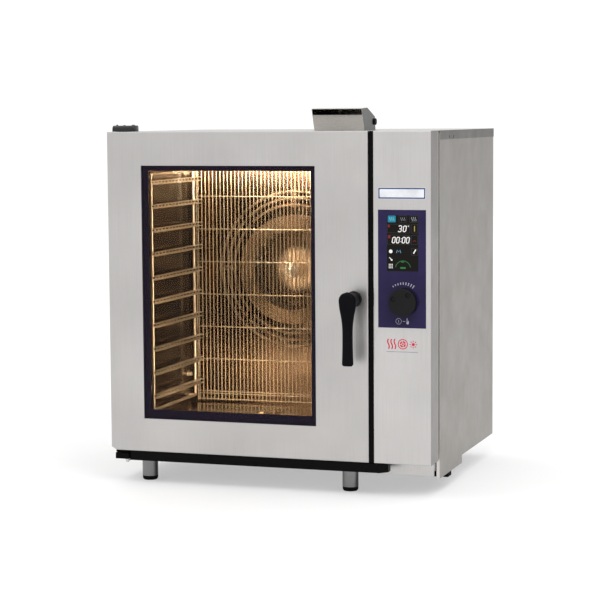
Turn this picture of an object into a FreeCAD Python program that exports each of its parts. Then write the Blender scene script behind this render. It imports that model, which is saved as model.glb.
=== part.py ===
import FreeCAD, Part
import os
import re

import Sketcher

# Combi steamer oven: ten-level cabinet, left-hung glazed door, control column on the right.
# Millimetres, +Z up, +Y towards the back, origin on the floor under the middle of the whole appliance.

DIMENSIONS = {
    # cabinet
    "body_width": 937, "front_y": -350, "frame_y": -268, "panel_y": -253, "rear_y": 398,
    "base_z": 41, "rail_z": 58, "pan_z": 62, "pan_sheet": 2, "pan_height": 20, "frame_half": 455,
    "door_bottom": 93, "body_top": 993, "skin": 1.5, "lip": 1.2, "rear_end": 425, "fold_gap": 3.5,
    "rail_left": -450, "rail_right": 285, "rail_front": -300, "plinth_low": 46,
    "plinth_left": -448, "plinth_step": 290, "plinth_right": 451.5, "notch_y": 5,
    "cover_lip": 25, "hook_front": -149, "hook_back": -105, "hook_width": 10,
    # back panel and what passes through it
    "slot_pitch": 9, "slot_height": 4, "slots_low": 240, "slots_high": 812, "slots_left": 330,
    "slots_right": 430, "valve_left": -400, "valve_right": -340, "service_z": 160,
    "gland_x": 400, "gland_radius": 15.8, "stub_radius": 13.2, "spigot_radius": 20,
    # cavity
    "cavity_left": -412.5, "cavity_right": 173.5, "cavity_floor_z": 165, "cavity_top": 925,
    "cavity_rear": 282, "board": 38, "drain_x": -119.5, "drain_y": 20, "waste_level": 104,
    # racks and fan guard
    "rack_inset": 20.5, "rack_front": -217, "rack_rear": 112, "rod": 8, "first_level": 225,
    "level_pitch": 68.46, "levels": 10, "rail_shelf": 15, "rail_height": 12,
    "guard_y": 150, "wire": 3.2, "wire_pitch": 12, "guard_bottom": 170, "guard_first": 198,
    "guard_step": 99.2, "guard_top": 905,
    # fan and heater
    "fan_x": -108, "fan_z": 570, "shaft_radius": 10, "fan_radius": 165, "running_gap": 0.05,
    "heater_radius": 196, "heater_step": 20, "heater_tube": 8.5, "motor_radius": 65,
    "heater_back": 55, "strap_half": 7, "wheel_eye": 122, "wheel_hub": 26,
    # boiler and steam pipe
    "boiler_x": 285, "boiler_y": 215, "boiler_low": 250, "boiler_high": 580, "boiler_radius": 62,
    "crown_height": 24, "crown_radius": 24, "neck_radius": 16, "neck_height": 40,
    "boiler_flange": 72, "post_half": 20, "steam_z": 700, "riser_radius": 14, "riser_bore": 11,
    "riser_height": 70, "run_radius": 10.9, "run_bore": 8.5,
    # door
    "door_width": 762, "door_back": -280, "glass_left": -366, "glass_right": 143.5,
    "glass_low": 187, "glass_high": 899, "hinge_x": -446.5, "hinge_y": -312, "pin_radius": 6,
    "corner_cut": 12, "inner_depth": 6, "hinge_back": -225, "arm_left": 9.5, "arm_right": 20,
    "cap_left": 12.5, "cap_right": 53.5, "cap_front": 20, "cap_back": 14, "cap_high": 20,
    "cap_wall": 2.5,
    # drip tray
    "tray_left": -418, "tray_right": 322, "tray_tip": 341, "tray_front": -343, "tray_depth": 26,
    "tray_wall": 3,
    # handle and latch
    "handle_x": 253.5, "handle_z": 540, "handle_end": 365, "hub_radius": 24, "spindle_radius": 8,
    "boss_face": -366, "lever_back": -398, "lever_front": -425, "boss_radius": 22,
    "neck_width": 19, "case_half": 30,
    # control column
    "column_left": 307.5, "column_back": -284.5, "plate_left": 299.5, "column_edge": 467.3,
    "panel_left": 321.5, "panel_right": 454.5, "panel_low": 465,
    "panel_high": 782.5, "knob_x": 393.5, "knob_z": 535, "knob_radius": 37.5, "knob_back": -352,
    "knob_front": -372, "key_radius": 3, "encoder_half": 16, "glass_sheet": 4,
    "wiring_left": 330, "wiring_right": 435, "wiring_low": 450, "wiring_high": 800,
    # electrics
    "plate_face": 448, "plate_low": 520, "plate_high": 900, "plate_half": 150, "cooler_x": 380,
    "cooler_z": 854, "cooler_half": 60, "cooler_depth": 38, "cooler_bore": 57,
    # vent
    "hood_left": 96.5, "hood_width": 145, "vent_x": 136.5, "vent_y": -164, "vent_radius": 25,
    "flap_z": 1013, "pivot_radius": 3.05, "hood_back": -96, "hood_front": -230,
    "mouth_low": 1036, "mouth_high": 1052, "hood_knob": 9.5,
    # feet
    "foot_left": -381.5, "foot_right": 218.5, "foot_front": -275, "foot_rear": 320,
    "leg_radius": 22.5, "stem_radius": 15, "pad_radius": 18, "pad_height": 12,
    "stem_length": 28,
}

doc = FreeCAD.newDocument("combi_steamer")
sheet = doc.addObject("Spreadsheet::Sheet", "dim")
for row, (alias, value) in enumerate(DIMENSIONS.items(), start=1):
    sheet.set("A%d" % row, str(value))
    sheet.setAlias("A%d" % row, alias)
doc.recompute()

ALIASES = re.compile(r"\b(%s)\b" % "|".join(DIMENSIONS))
SUBPARTS = []
FULL_TURN = 360


def formula(text):
    """A formula written with the names above, as an expression on the sheet."""
    return ALIASES.sub(r"dim.\1", str(text))


def bind(obj, prop, text):
    obj.setExpression(prop, formula(text))


def keep(obj, label):
    """Mark an object as a finished sub-part with its own name."""
    obj.Label = label
    SUBPARTS.append(obj)
    return obj


def place(obj, x, y, z):
    for axis, text in zip("xyz", (x, y, z)):
        bind(obj, ".Placement.Base." + axis, text)


# ---------------------------------------------------------------- Part primitives

def block(name, xs, ys, zs):
    """A box given by its span along each axis."""
    obj = doc.addObject("Part::Box", name)
    for prop, (low, high) in zip(("Length", "Width", "Height"), (xs, ys, zs)):
        bind(obj, prop, "(%s) - (%s)" % (high, low))
    place(obj, xs[0], ys[0], zs[0])
    return obj


TURNS = {"X": FreeCAD.Rotation(FreeCAD.Vector(0, 1, 0), 90),
         "Y": FreeCAD.Rotation(FreeCAD.Vector(1, 0, 0), -90),
         "Z": FreeCAD.Rotation()}


def rod(name, axis, start, length, radius):
    """A cylinder that runs along +X, +Y or +Z from its start point."""
    obj = doc.addObject("Part::Cylinder", name)
    bind(obj, "Radius", radius)
    bind(obj, "Height", length)
    obj.Placement.Rotation = TURNS[axis]
    place(obj, *start)
    return obj


def fuse(name, *pieces):
    obj = doc.addObject("Part::MultiFuse", name)
    obj.Shapes = list(pieces)
    return obj


def cut(name, base, *tools):
    obj = doc.addObject("Part::Cut", name)
    obj.Base = base
    obj.Tool = tools[0] if len(tools) == 1 else fuse(name + "_tools", *tools)
    return obj


def group(name, *pieces):
    """Separate solids that share one node."""
    obj = doc.addObject("Part::Compound", name)
    obj.Links = list(pieces)
    return obj


def tube(name, axis, start, length, radius, bore):
    """A straight pipe that runs along +X, +Y or +Z from its start point."""
    along = "XYZ".index(axis)
    inner_start = list(start)
    inner_start[along] = "(%s) - 1" % start[along]
    outer = rod(name + "_outer", axis, start, length, radius)
    inner = rod(name + "_bore", axis, inner_start, "(%s) + 2" % length, bore)
    return cut(name, outer, inner)


# ---------------------------------------------------------------- PartDesign helpers

def new_body(name):
    return doc.addObject("PartDesign::Body", name)


def sketch(body, plane, level):
    """A sketch on the XY, XZ or YZ plane, moved to the given height, depth or width."""
    obj = body.newObject("Sketcher::SketchObject", body.Name + "_sketch")
    origin = [f for f in body.Origin.OriginFeatures if f.Role == plane + "_Plane"][0]
    obj.AttachmentSupport = [(origin, "")]
    obj.MapMode = "FlatFace"
    sign = "-" if plane == "XZ" else ""
    bind(obj, ".AttachmentOffset.Base.z", "%s(%s)" % (sign, level))
    return obj


def pin_point(sk, index, end, u, v):
    for kind, text in (("DistanceX", u), ("DistanceY", v)):
        number = sk.addConstraint(Sketcher.Constraint(kind, index, end, 1.0))
        sk.setExpression("Constraints[%d]" % number, formula(text))


def outline(sk, points):
    """A closed outline whose corners are bound to the sheet."""
    first = sk.GeometryCount
    values = [[sheet_value(u), sheet_value(v)] for u, v in points]
    for i in range(len(points)):
        start = FreeCAD.Vector(*values[i], 0)
        end = FreeCAD.Vector(*values[(i + 1) % len(points)], 0)
        sk.addGeometry(Part.LineSegment(start, end))
    for i in range(len(points)):
        following = first + (i + 1) % len(points)
        sk.addConstraint(Sketcher.Constraint("Coincident", first + i, 2, following, 1))
    for i, (u, v) in enumerate(points):
        pin_point(sk, first + i, 1, u, v)


def rectangle(sk, us, vs):
    outline(sk, [(us[0], vs[0]), (us[1], vs[0]), (us[1], vs[1]), (us[0], vs[1])])


def circle(sk, u, v, radius):
    centre = FreeCAD.Vector(sheet_value(u), sheet_value(v), 0)
    index = sk.addGeometry(Part.Circle(centre, FreeCAD.Vector(0, 0, 1), sheet_value(radius)))
    pin_point(sk, index, 3, u, v)
    number = sk.addConstraint(Sketcher.Constraint("Radius", index, sheet_value(radius)))
    sk.setExpression("Constraints[%d]" % number, formula(radius))


def sheet_value(text):
    """The present value of a formula, for a sketch's first draft."""
    return float(sheet.evalExpression(str(text)))


def feature(body, kind, sk, length, forward):
    """A pad or pocket that runs towards + or - along the axis its sketch faces."""
    before = body.Shape.Volume if kind == "Pocket" else 0
    obj = body.newObject("PartDesign::" + kind, body.Name + "_" + kind.lower())
    obj.Profile = sk
    bind(obj, "Length", length)
    faces_back = sk.AttachmentSupport[0][0].Role == "XZ_Plane"
    with_normal = forward != faces_back
    obj.Reversed = (not with_normal) if kind == "Pad" else with_normal
    sk.Visibility = False
    doc.recompute()
    if kind == "Pocket" and not obj.Shape.Volume < before - 1e-3:
        raise RuntimeError("nothing cut by " + obj.Name)
    return obj


def pad(body, sk, length, forward=True):
    return feature(body, "Pad", sk, length, forward)


def pocket(body, sk, length, forward=True):
    return feature(body, "Pocket", sk, length, forward)


def revolve(body, sk):
    obj = body.newObject("PartDesign::Revolution", body.Name + "_turned")
    obj.Profile = sk
    obj.ReferenceAxis = (sk, ["V_Axis"])
    obj.Angle = FULL_TURN
    doc.recompute()
    return obj


def round_edges(body, radius, wanted):
    """Fillet the edges of the newest feature that pass the test."""
    base = body.Tip
    names = ["Edge%d" % (i + 1) for i, edge in enumerate(base.Shape.Edges) if wanted(edge)]
    obj = body.newObject("PartDesign::Fillet", body.Name + "_rounding")
    obj.Base = (base, names)
    obj.Radius = radius
    doc.recompute()
    return obj


# ---------------------------------------------------------------- cabinet

def base_chassis():
    """Folded pan that carries the cavity, with a front rail over the front legs."""
    pan = block("pan_outer", ("-frame_half", "frame_half"), ("panel_y + skin", "rear_y - 3"),
                ("pan_z", "pan_z + pan_height"))
    hollow = block("pan_hollow", ("pan_sheet - frame_half", "frame_half - pan_sheet"),
                   ("panel_y + skin + pan_sheet", "rear_y - 3 - pan_sheet"),
                   ("pan_z + pan_sheet", "pan_z + pan_height + 1"))
    rail = block("front_rail", ("rail_left", "rail_right"), ("rail_front", "panel_y + 10"),
                 ("rail_z", "pan_z"))
    drain_gap = rod("pan_drain_gap", "Z", ("drain_x", "drain_y", "pan_z - 1"), "4", "30")
    keep(cut("pan_cut", fuse("pan_with_rail", pan, rail), hollow, drain_gap), "base_chassis")


def legs():
    """Steel sleeves under the pan, each with an adjustable foot that screws out of it."""
    sleeves = []
    for side in ("left", "right"):
        for end, top in (("front", "rail_z"), ("rear", "pan_z")):
            x, y = "foot_" + side, "foot_" + end
            name = end + "_" + side
            sleeves.append(tube("sleeve_" + name, "Z", (x, y, "pad_height"),
                                "%s - pad_height" % top, "leg_radius",
                                "stem_radius + running_gap"))
            foot(name, x, y)
    keep(group("sleeve_set", *sleeves), "leg_sleeves")


def foot(name, x, y):
    """Threaded stem with a round-edged rubber pad."""
    body = new_body("foot_body_" + name)
    sk = sketch(body, "XZ", "0")
    outline(sk, [("0", "0"), ("pad_radius", "0"), ("leg_radius - 1.5", "2.5"),
                 ("leg_radius - 0.5", "pad_height - 4"), ("leg_radius - 0.5", "pad_height"),
                 ("stem_radius", "pad_height"), ("stem_radius", "pad_height + stem_length"),
                 ("0", "pad_height + stem_length")])
    revolve(body, sk)
    place(body, x, y, "0")
    keep(body, "foot_" + name)


def plinth():
    """Pale strip set back under the control column and behind the drip tray."""
    body = new_body("plinth_body")
    outline(sketch(body, "XZ", "panel_y"),
            [("plinth_left", "pan_z"), ("plinth_step", "pan_z"), ("plinth_step", "plinth_low"),
             ("plinth_right", "plinth_low"), ("plinth_right", "door_bottom"),
             ("plinth_left", "door_bottom")])
    pad(body, body.Group[0], "skin")
    keep(body, "plinth_front")


def side_panel(side):
    """Side skin with a raised rear bottom edge and a narrow return flange in front."""
    sign = "-" if side == "left" else ""
    inner = "%s(body_width / 2 - lip - skin)" % sign
    edge = "%s(frame_half + fold_gap)" % sign
    body = new_body("side_body_" + side)
    sk = sketch(body, "YZ", inner)
    outline(sk, [("panel_y", "base_z"), ("notch_y", "base_z"), ("notch_y", "pan_z + 2"),
                 ("rear_y", "pan_z + 2"), ("rear_y", "body_top - 4"),
                 ("panel_y", "body_top - 4")])
    pad(body, sk, "skin", side == "right")
    flange = sketch(body, "XZ", "panel_y")
    across = (edge, inner) if side == "right" else (inner, edge)
    rectangle(flange, across, ("base_z", "body_top - 4"))
    pad(body, flange, "skin")
    keep(body, "side_panel_" + side)


def top_cover():
    """Lid with its edges folded down over the side panels and slotted for their hooks."""
    plate = block("cover_plate", ("-body_width / 2", "body_width / 2"), ("frame_y", "rear_y"),
                  ("body_top - skin", "body_top"))
    lips = []
    hooks = []
    for name, xs in (("left", ("-body_width / 2", "lip - body_width / 2")),
                     ("right", ("body_width / 2 - lip", "body_width / 2"))):
        lips.append(block("cover_lip_" + name, xs, ("panel_y", "rear_y"),
                          ("body_top - cover_lip", "body_top - skin")))
        for i, y in enumerate(("hook_front", "hook_back")):
            hooks.append(block("hook_slot_%s_%d" % (name, i), xs, (y, y + " + hook_width"),
                               ("body_top - cover_lip + 3", "body_top - cover_lip + 11")))
    opening = rod("cover_vent_gap", "Z", ("vent_x", "vent_y", "body_top - 3"), "6",
                  "vent_radius + 1")
    keep(cut("cover_cut", fuse("cover_folded", plate, *lips), opening, *hooks), "top_cover")


def back_panel():
    """Rear skin with openings for the connections and slots where cooling air goes in and out."""
    body = new_body("back_body")
    sk = sketch(body, "XZ", "rear_y - skin")
    rectangle(sk, ("-463", "463"), ("pan_z + 18", "body_top - skin"))
    pad(body, sk, "skin")
    holes = sketch(body, "XZ", "rear_y - skin")
    for x in ("valve_left", "valve_right"):
        circle(holes, x, "service_z", "stub_radius + 1.3")
    circle(holes, "drain_x", "waste_level", "spigot_radius + 1")
    circle(holes, "gland_x", "service_z", "gland_radius + 0.2")
    for first_slot in ("slots_low", "slots_high"):
        for i in range(9):
            low = "%s + slot_pitch * %d" % (first_slot, i)
            rectangle(holes, ("slots_left", "slots_right"), (low, low + " + slot_height"))
    pocket(body, holes, "skin + 1")
    keep(body, "back_panel")


def front_frame():
    """Four folded members welded round the cavity mouth, and the backing plate of the column."""
    low, high = "pan_z + 2", "body_top - skin"
    mouth = ("cavity_left", "cavity_right")
    members = (("left", ("-frame_half", mouth[0]), (low, high)),
               ("right", (mouth[1], "plate_left"), (low, high)),
               ("head", mouth, ("cavity_top", high)),
               ("sill", mouth, (low, "cavity_floor_z")))
    plates = [frame_member(name, xs, zs) for name, xs, zs in members]
    keep(group("front_frame_set", *plates, column_plate()), "front_frame")


def frame_member(name, xs, zs):
    """Flat strip with a flange folded back along each edge that isn't at the cavity mouth."""
    depth = ("frame_y", "panel_y")
    pieces = [block("member_%s_plate" % name, xs, ("frame_y", "frame_y + skin"), zs)]
    if name in ("left", "right"):
        edge = (xs[0], xs[0] + " + skin") if name == "left" else (xs[1] + " - skin", xs[1])
        pieces.append(block("member_%s_edge" % name, edge, depth, zs))
    if name != "sill":
        pieces.append(block("member_%s_top" % name, xs, depth, (zs[1] + " - skin", zs[1])))
    if name != "head":
        pieces.append(block("member_%s_foot" % name, xs, depth, (zs[0], zs[0] + " + skin")))
    return fuse("member_" + name, *pieces)


def column_plate():
    """Plate behind the column: a collar inside its cover, an edge strip and a fold at the back."""
    body = new_body("column_plate")
    sk = sketch(body, "XZ", "frame_y")
    rectangle(sk, ("plate_left", "column_edge"), ("door_bottom", "body_top - skin"))
    pad(body, sk, "skin")
    collar = sketch(body, "XZ", "column_back - 6")
    rectangle(collar, ("column_left + 6", "column_edge - 5"), ("door_bottom + 6", "body_top - 8"))
    rectangle(collar, ("column_left + 6 + skin", "column_edge - 5 - skin"),
              ("door_bottom + 6 + skin", "body_top - 8 - skin"))
    pad(body, collar, "frame_y - column_back + 6")
    strip = sketch(body, "XZ", "column_back + 4")
    rectangle(strip, ("column_edge - skin", "column_edge"), ("door_bottom + 1", "body_top - 3"))
    pad(body, strip, "frame_y - column_back - 4")
    fold = sketch(body, "XZ", "frame_y + skin")
    rectangle(fold, ("frame_half + fold_gap", "frame_half + fold_gap + skin"),
              ("door_bottom", "body_top - 4"))
    pad(body, fold, "panel_y - frame_y - skin")
    opening = sketch(body, "XZ", "frame_y - 1")
    rectangle(opening, ("wiring_left", "wiring_right"), ("wiring_low", "wiring_high"))
    pocket(body, opening, "5")
    return body


# ---------------------------------------------------------------- cavity

def cavity_plates():
    """Five welded plates behind the front frame."""
    front = "frame_y + skin"
    low, high = "cavity_floor_z", "cavity_top"
    left, right, rear = "cavity_left", "cavity_right", "cavity_rear"
    floor = block("floor_plate", (left, right), (front, rear), (low + " - skin", low))
    drain = rod("floor_drain_hole", "Z", ("drain_x", "drain_y", low + " - 5"), "10", "20")
    keep(cut("floor_cut", floor, drain), "cavity_floor")
    ceiling = block("ceiling_plate", (left, right), (front, rear), (high, high + " + skin"))
    vent = rod("ceiling_vent_hole", "Z", ("vent_x", "vent_y", high + " - 5"), "10", "vent_radius")
    keep(cut("ceiling_cut", ceiling, vent), "cavity_ceiling")
    span = (low + " - skin", high + " + skin")
    keep(block("left_wall", (left + " - skin", left), (front, rear), span), "cavity_wall_left")
    wall = block("right_wall_plate", (right, right + " + skin"), (front, rear), span)
    steam = rod("steam_hole", "X", (right + " - 5", "boiler_y", "steam_z"), "12", "riser_bore")
    keep(cut("right_wall_cut", wall, steam), "cavity_wall_right")
    rear_plate = block("rear_plate", (left + " - skin", right + " + skin"),
                       (rear, rear + " + skin"), span)
    shaft = rod("rear_shaft_hole", "Y", ("fan_x", rear + " - 5", "fan_z"), "12", "30")
    leads = [rod("rear_lead_hole_%d" % i, "Y", (lead_x(i), rear + " - 5", lead_z(i)), "12",
                 "heater_tube / 2 + 0.5") for i in range(6)]
    keep(cut("rear_cut", rear_plate, shaft, *leads), "cavity_wall_rear")


def lead_x(i):
    return "fan_x + %s * 30" % (-1 if i % 2 else 1)


def lead_z(i):
    return "fan_z - heater_radius - %d * heater_step" % (i // 2)


def insulation():
    """Mineral wool boards round the cavity."""
    low, high = "cavity_floor_z - skin - board", "cavity_top + skin + board"
    left, right = "cavity_left - skin", "cavity_right + skin"
    front, rear = "-235", "cavity_rear + skin"
    sides = [block("wool_left", (left + " - board", left), (front, rear), (low, high))]
    right_board = block("wool_right_board", (right, right + " + board"), (front, rear), (low, high))
    steam_gap = rod("wool_steam_gap", "X", (right + " - 1", "boiler_y", "steam_z"), "board + 2",
                    "riser_radius")
    sides.append(cut("wool_right", right_board, steam_gap))
    bottom_board = block("wool_bottom_board", (left, right), (front, rear),
                         (low, "cavity_floor_z - skin"))
    drain_gap = rod("wool_drain_gap", "Z", ("drain_x", "drain_y", low + " - 1"), "board + 2", "28")
    bottom = cut("wool_bottom", bottom_board, drain_gap)
    top_board = block("wool_top_board", (left, right), (front, rear), ("cavity_top + skin", high))
    vent_gap = rod("wool_vent_gap", "Z", ("vent_x", "vent_y", "cavity_top"), "board + 4", "28")
    top = cut("wool_top", top_board, vent_gap)
    back_board = block("wool_back_board", (left, right), (rear, rear + " + board"), (low, high))
    motor_gap = rod("wool_motor_gap", "Y", ("fan_x", rear + " - 1", "fan_z"), "board + 2", "84")
    terminal_gap = block("wool_terminal_gap", ("fan_x - 60", "fan_x + 60"),
                         (rear + " - 1", rear + " + board + 1"),
                         ("fan_z - heater_radius - 60", "fan_z - heater_radius + 20"))
    back = cut("wool_back", back_board, motor_gap, terminal_gap)
    keep(group("wool_set", *sides, bottom, top, back), "insulation")


def door_seal():
    """Rounded silicone ring round the cavity mouth."""
    body = new_body("seal_body")
    sk = sketch(body, "XZ", "frame_y")
    for grow in ("13", "3"):
        rectangle(sk, ("cavity_left - " + grow, "cavity_right + " + grow),
                  ("cavity_floor_z - " + grow, "cavity_top + " + grow))
    pad(body, sk, "frame_y - door_back - 0.2", False)
    round_edges(body, 12, is_outer_upright_of_ring)
    keep(body, "door_seal")


def is_outer_upright_of_ring(edge):
    """A straight edge along Y on the outer corners of the seal."""
    box = edge.BoundBox
    along_y = box.YLength > 1 and box.XLength < 0.01 and box.ZLength < 0.01
    outside = box.XMin < sheet_value("cavity_left - 10") or box.XMax > sheet_value(
        "cavity_right + 10")
    return along_y and outside


def rack(side):
    """Two uprights with ten folded tray rails that point into the cavity."""
    if side == "left":
        upright_x, leftward = "cavity_left + rack_inset", False
    else:
        upright_x, leftward = "cavity_right - rack_inset", True
    low, high = "first_level - 35", "first_level + level_pitch * (levels - 1) + 30"
    pieces = [rod("upright_%s_%d" % (side, i), "Z", (upright_x, y, low),
                  "(%s) - (%s)" % (high, low), "rod / 2")
              for i, y in enumerate(("rack_front", "rack_rear"))]
    for i, z in enumerate((low, high)):
        pieces.append(rod("tie_%s_%d" % (side, i), "Y", (upright_x, "rack_front", z),
                          "rack_rear - rack_front", "rod / 2"))
    for level in range(int(sheet_value("levels"))):
        z = "first_level + level_pitch * %d" % level
        pieces.append(rail("rail_%s_%d" % (side, level), upright_x, leftward, z))
    for i, (y, z) in enumerate((("rack_front", low), ("rack_front", high), ("rack_rear", low),
                                ("rack_rear", high))):
        outward_x = upright_x + (" - rack_inset" if side == "left" else "")
        pieces.append(rod("stud_%s_%d" % (side, i), "X", (outward_x, y, z), "rack_inset",
                          "rod / 2 - 1"))
    keep(fuse("rack_" + side + "_welded", *pieces), "rack_" + side)


def rail(name, upright_x, leftward, z):
    """Channel rail: a shelf, a standing web against the rods and a guide over the tray's edge."""
    sign = "-" if leftward else "+"
    web_face = "%s %s (rod / 2 - 0.5)" % (upright_x, sign)
    tip = "%s %s rail_shelf" % (web_face, sign)
    sheet_edge = "%s %s skin" % (web_face, sign)
    ends = ("rack_front - 12", "rack_rear + 23")
    web_span = (sheet_edge, web_face) if leftward else (web_face, sheet_edge)
    shelf_span = (tip, web_face) if leftward else (web_face, tip)
    web = block(name + "_web", web_span, ends, (z, z + " + rail_height"))
    shelf = block(name + "_shelf", shelf_span, ends, (z, z + " + skin"))
    guide = block(name + "_guide", shelf_span, ends,
                  (z + " + rail_height - skin", z + " + rail_height"))
    return fuse(name, web, shelf, guide)


def fan_guard():
    """Wire guard in front of the fan: close uprights welded to cross wires."""
    left, right = "cavity_left + 20", "cavity_right - 20"
    count = int(sheet_value("(%s - (%s)) / wire_pitch" % (right, left)))
    wires = [rod("guard_upright_%d" % i, "Z",
                 ("%s + %d * wire_pitch" % (left, i), "guard_y", "guard_bottom"),
                 "guard_top - guard_bottom", "wire / 2") for i in range(count + 1)]
    cross_levels = ["guard_first + %d * guard_step" % i for i in range(7)]
    cross_levels += ["guard_bottom + 4", "guard_top - 4", "guard_first - 7"]
    for i, z in enumerate(cross_levels):
        wires.append(rod("guard_cross_%d" % i, "X", ("%s - 6" % left, "guard_y - wire + 0.3", z),
                         "%d * wire_pitch + 12" % count, "wire / 2"))
    for i, x in enumerate(("%s - 4" % left, "%s + %d * wire_pitch + 4" % (left, count))):
        wires.append(rod("guard_edge_%d" % i, "Z", (x, "guard_y - wire + 0.3", "guard_bottom"),
                         "guard_top - guard_bottom", "wire / 2"))
    keep(fuse("guard_welded", *wires), "fan_guard")


# ---------------------------------------------------------------- fan, heat, steam and water

def heating_element():
    """Three ring heaters on shared brackets, with their leads through the rear wall."""
    pieces = []
    for i in range(3):
        ring = doc.addObject("Part::Torus", "heater_ring_%d" % i)
        bind(ring, "Radius1", "heater_radius + %d * heater_step" % i)
        bind(ring, "Radius2", "heater_tube / 2")
        ring.Placement.Rotation = TURNS["Y"]
        place(ring, "fan_x", "cavity_rear - heater_back", "fan_z")
        pieces.append(ring)
    for i in range(6):
        pieces.append(rod("heater_lead_%d" % i, "Y", (lead_x(i), "cavity_rear - heater_back", lead_z(i)),
                          "85", "heater_tube / 2"))
    for i, (x, z) in enumerate((("-1", "0"), ("1", "0"), ("0", "1"))):
        near, far = "(heater_radius - 9)", "(heater_radius + 2 * heater_step + 9)"
        xs = strap_span("fan_x", x, near, far)
        zs = strap_span("fan_z", z, near, far)
        ys = ("cavity_rear - heater_back - 2", "cavity_rear - heater_back + 2")
        pieces.append(block("heater_strap_%d" % i, xs, ys, zs))
    pieces.append(block("heater_stay", ("fan_x - 2", "fan_x + 2"),
                        ("cavity_rear - heater_back + 1", "cavity_rear"),
                        ("fan_z + heater_radius + 8", "fan_z + heater_radius + 12")))
    keep(fuse("heater_brazed", *pieces), "heating_element")


def strap_span(centre, way, near, far):
    """Span of a strap along one axis: along the spoke, or its width across it."""
    if way == "0":
        return (centre + " - strap_half", centre + " + strap_half")
    if way == "1":
        return (centre + " + " + near, centre + " + " + far)
    return (centre + " - " + far, centre + " - " + near)


def fan_motor():
    """Flanged motor behind the rear wall, with a bore for its shaft."""
    body = new_body("motor_body")
    sk = sketch(body, "XY", "0")
    bore = "shaft_radius + running_gap"
    outline(sk, [(bore, "0"), ("80", "0"), ("80", "4"), ("motor_radius - 20", "4"),
                 ("motor_radius - 20", "30"), ("motor_radius - 4", "36"), ("motor_radius", "40"),
                 ("motor_radius", "100"), ("motor_radius - 8", "108"), (bore, "108")])
    revolve(body, sk)
    place(body, "fan_x", "cavity_rear + skin", "fan_z")
    keep(body, "fan_motor")


def fan_wheel():
    """Motor shaft and the radial wheel on its end."""
    keep(rod("shaft_rod", "Y", ("fan_x", "cavity_rear - 92", "fan_z"), "160", "shaft_radius"),
         "fan_shaft")
    body = new_body("wheel_body")
    disc = sketch(body, "XZ", "-30")
    circle(disc, "0", "0", "fan_radius")
    circle(disc, "0", "0", "shaft_radius")
    pad(body, disc, "2")
    hub = sketch(body, "XZ", "-54")
    circle(hub, "0", "0", "wheel_hub")
    circle(hub, "0", "0", "shaft_radius")
    pad(body, hub, "25")
    blade = sketch(body, "XZ", "-88")
    outline(blade, [("118", "-14"), ("fan_radius - 2", "6"), ("fan_radius - 3", "8"), ("117", "-12")])
    blade_pad = pad(body, blade, "59")
    pattern = body.newObject("PartDesign::PolarPattern", "wheel_blades")
    pattern.Originals = [blade_pad]
    pattern.Axis = (blade, ["N_Axis"])
    pattern.Angle = FULL_TURN
    pattern.Occurrences = 24
    body.Tip = pattern
    doc.recompute()
    rim = sketch(body, "XZ", "-90")
    circle(rim, "0", "0", "fan_radius")
    circle(rim, "0", "0", "wheel_eye")
    pad(body, rim, "3")
    place(body, "fan_x", "cavity_rear", "fan_z")
    keep(body, "fan_impeller")


def steam_generator():
    """Upright boiler beside the cavity, with its outlet bend into the cavity wall."""
    x, y = "boiler_x", "boiler_y"
    shell = rod("boiler_shell", "Z", (x, y, "boiler_low"), "boiler_high - boiler_low",
                "boiler_radius")
    crown = doc.addObject("Part::Cone", "boiler_crown")
    for prop, text in (("Radius1", "boiler_radius"), ("Radius2", "crown_radius"),
                       ("Height", "crown_height")):
        bind(crown, prop, text)
    place(crown, x, y, "boiler_high")
    flange = rod("boiler_flange", "Z", (x, y, "boiler_low - 10"), "10", "boiler_flange")
    post = block("boiler_post", (x + " - post_half", x + " + post_half"),
                 (y + " - post_half", y + " + post_half"), ("pan_z + pan_sheet", "boiler_low - 10"))
    neck = rod("boiler_neck", "Z", (x, y, "boiler_high + crown_height"), "neck_height",
               "neck_radius")
    keep(fuse("boiler_welded", shell, crown, flange, post, neck), "steam_generator")
    riser = tube("steam_riser", "Z", (x, y, "boiler_high + crown_height + neck_height"),
                 "riser_height", "riser_radius", "riser_bore")
    run = tube("steam_run", "X", ("cavity_right - 8", y, "steam_z"),
               "boiler_x - (cavity_right - 8)", "run_radius", "run_bore")
    entry = rod("steam_entry", "X", (x + " - post_half", y, "steam_z"), "post_half", "run_radius")
    keep(fuse("steam_pipe_brazed", cut("steam_riser_open", riser, entry), run), "steam_pipe")


def water_valves():
    """Two inlet valves: block, coil and threaded stub through the back panel."""
    valves = []
    for i, x in enumerate(("valve_left", "valve_right")):
        stub = rod("inlet_stub_%d" % i, "Y", (x, "380", "service_z"),
                   "rear_end - 380", "stub_radius")
        bore = rod("inlet_bore_%d" % i, "Y", (x, "395", "service_z"), "31", "9")
        valve_block = block("inlet_block_%d" % i, (x + " - 18", x + " + 18"), ("345", "385"),
                            ("service_z - 18", "service_z + 18"))
        coil = rod("inlet_coil_%d" % i, "Z", (x, "362", "service_z + 18"), "38", "16")
        mount = block("inlet_mount_%d" % i, (x + " - 14", x + " + 14"), ("348", "382"),
                      ("pan_z + pan_sheet", "service_z - 18"))
        valves.append(cut("inlet_valve_%d" % i, fuse("inlet_solid_%d" % i, stub, valve_block,
                                                     coil, mount), bore))
    keep(group("valve_pair", *valves), "water_valves")


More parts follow.
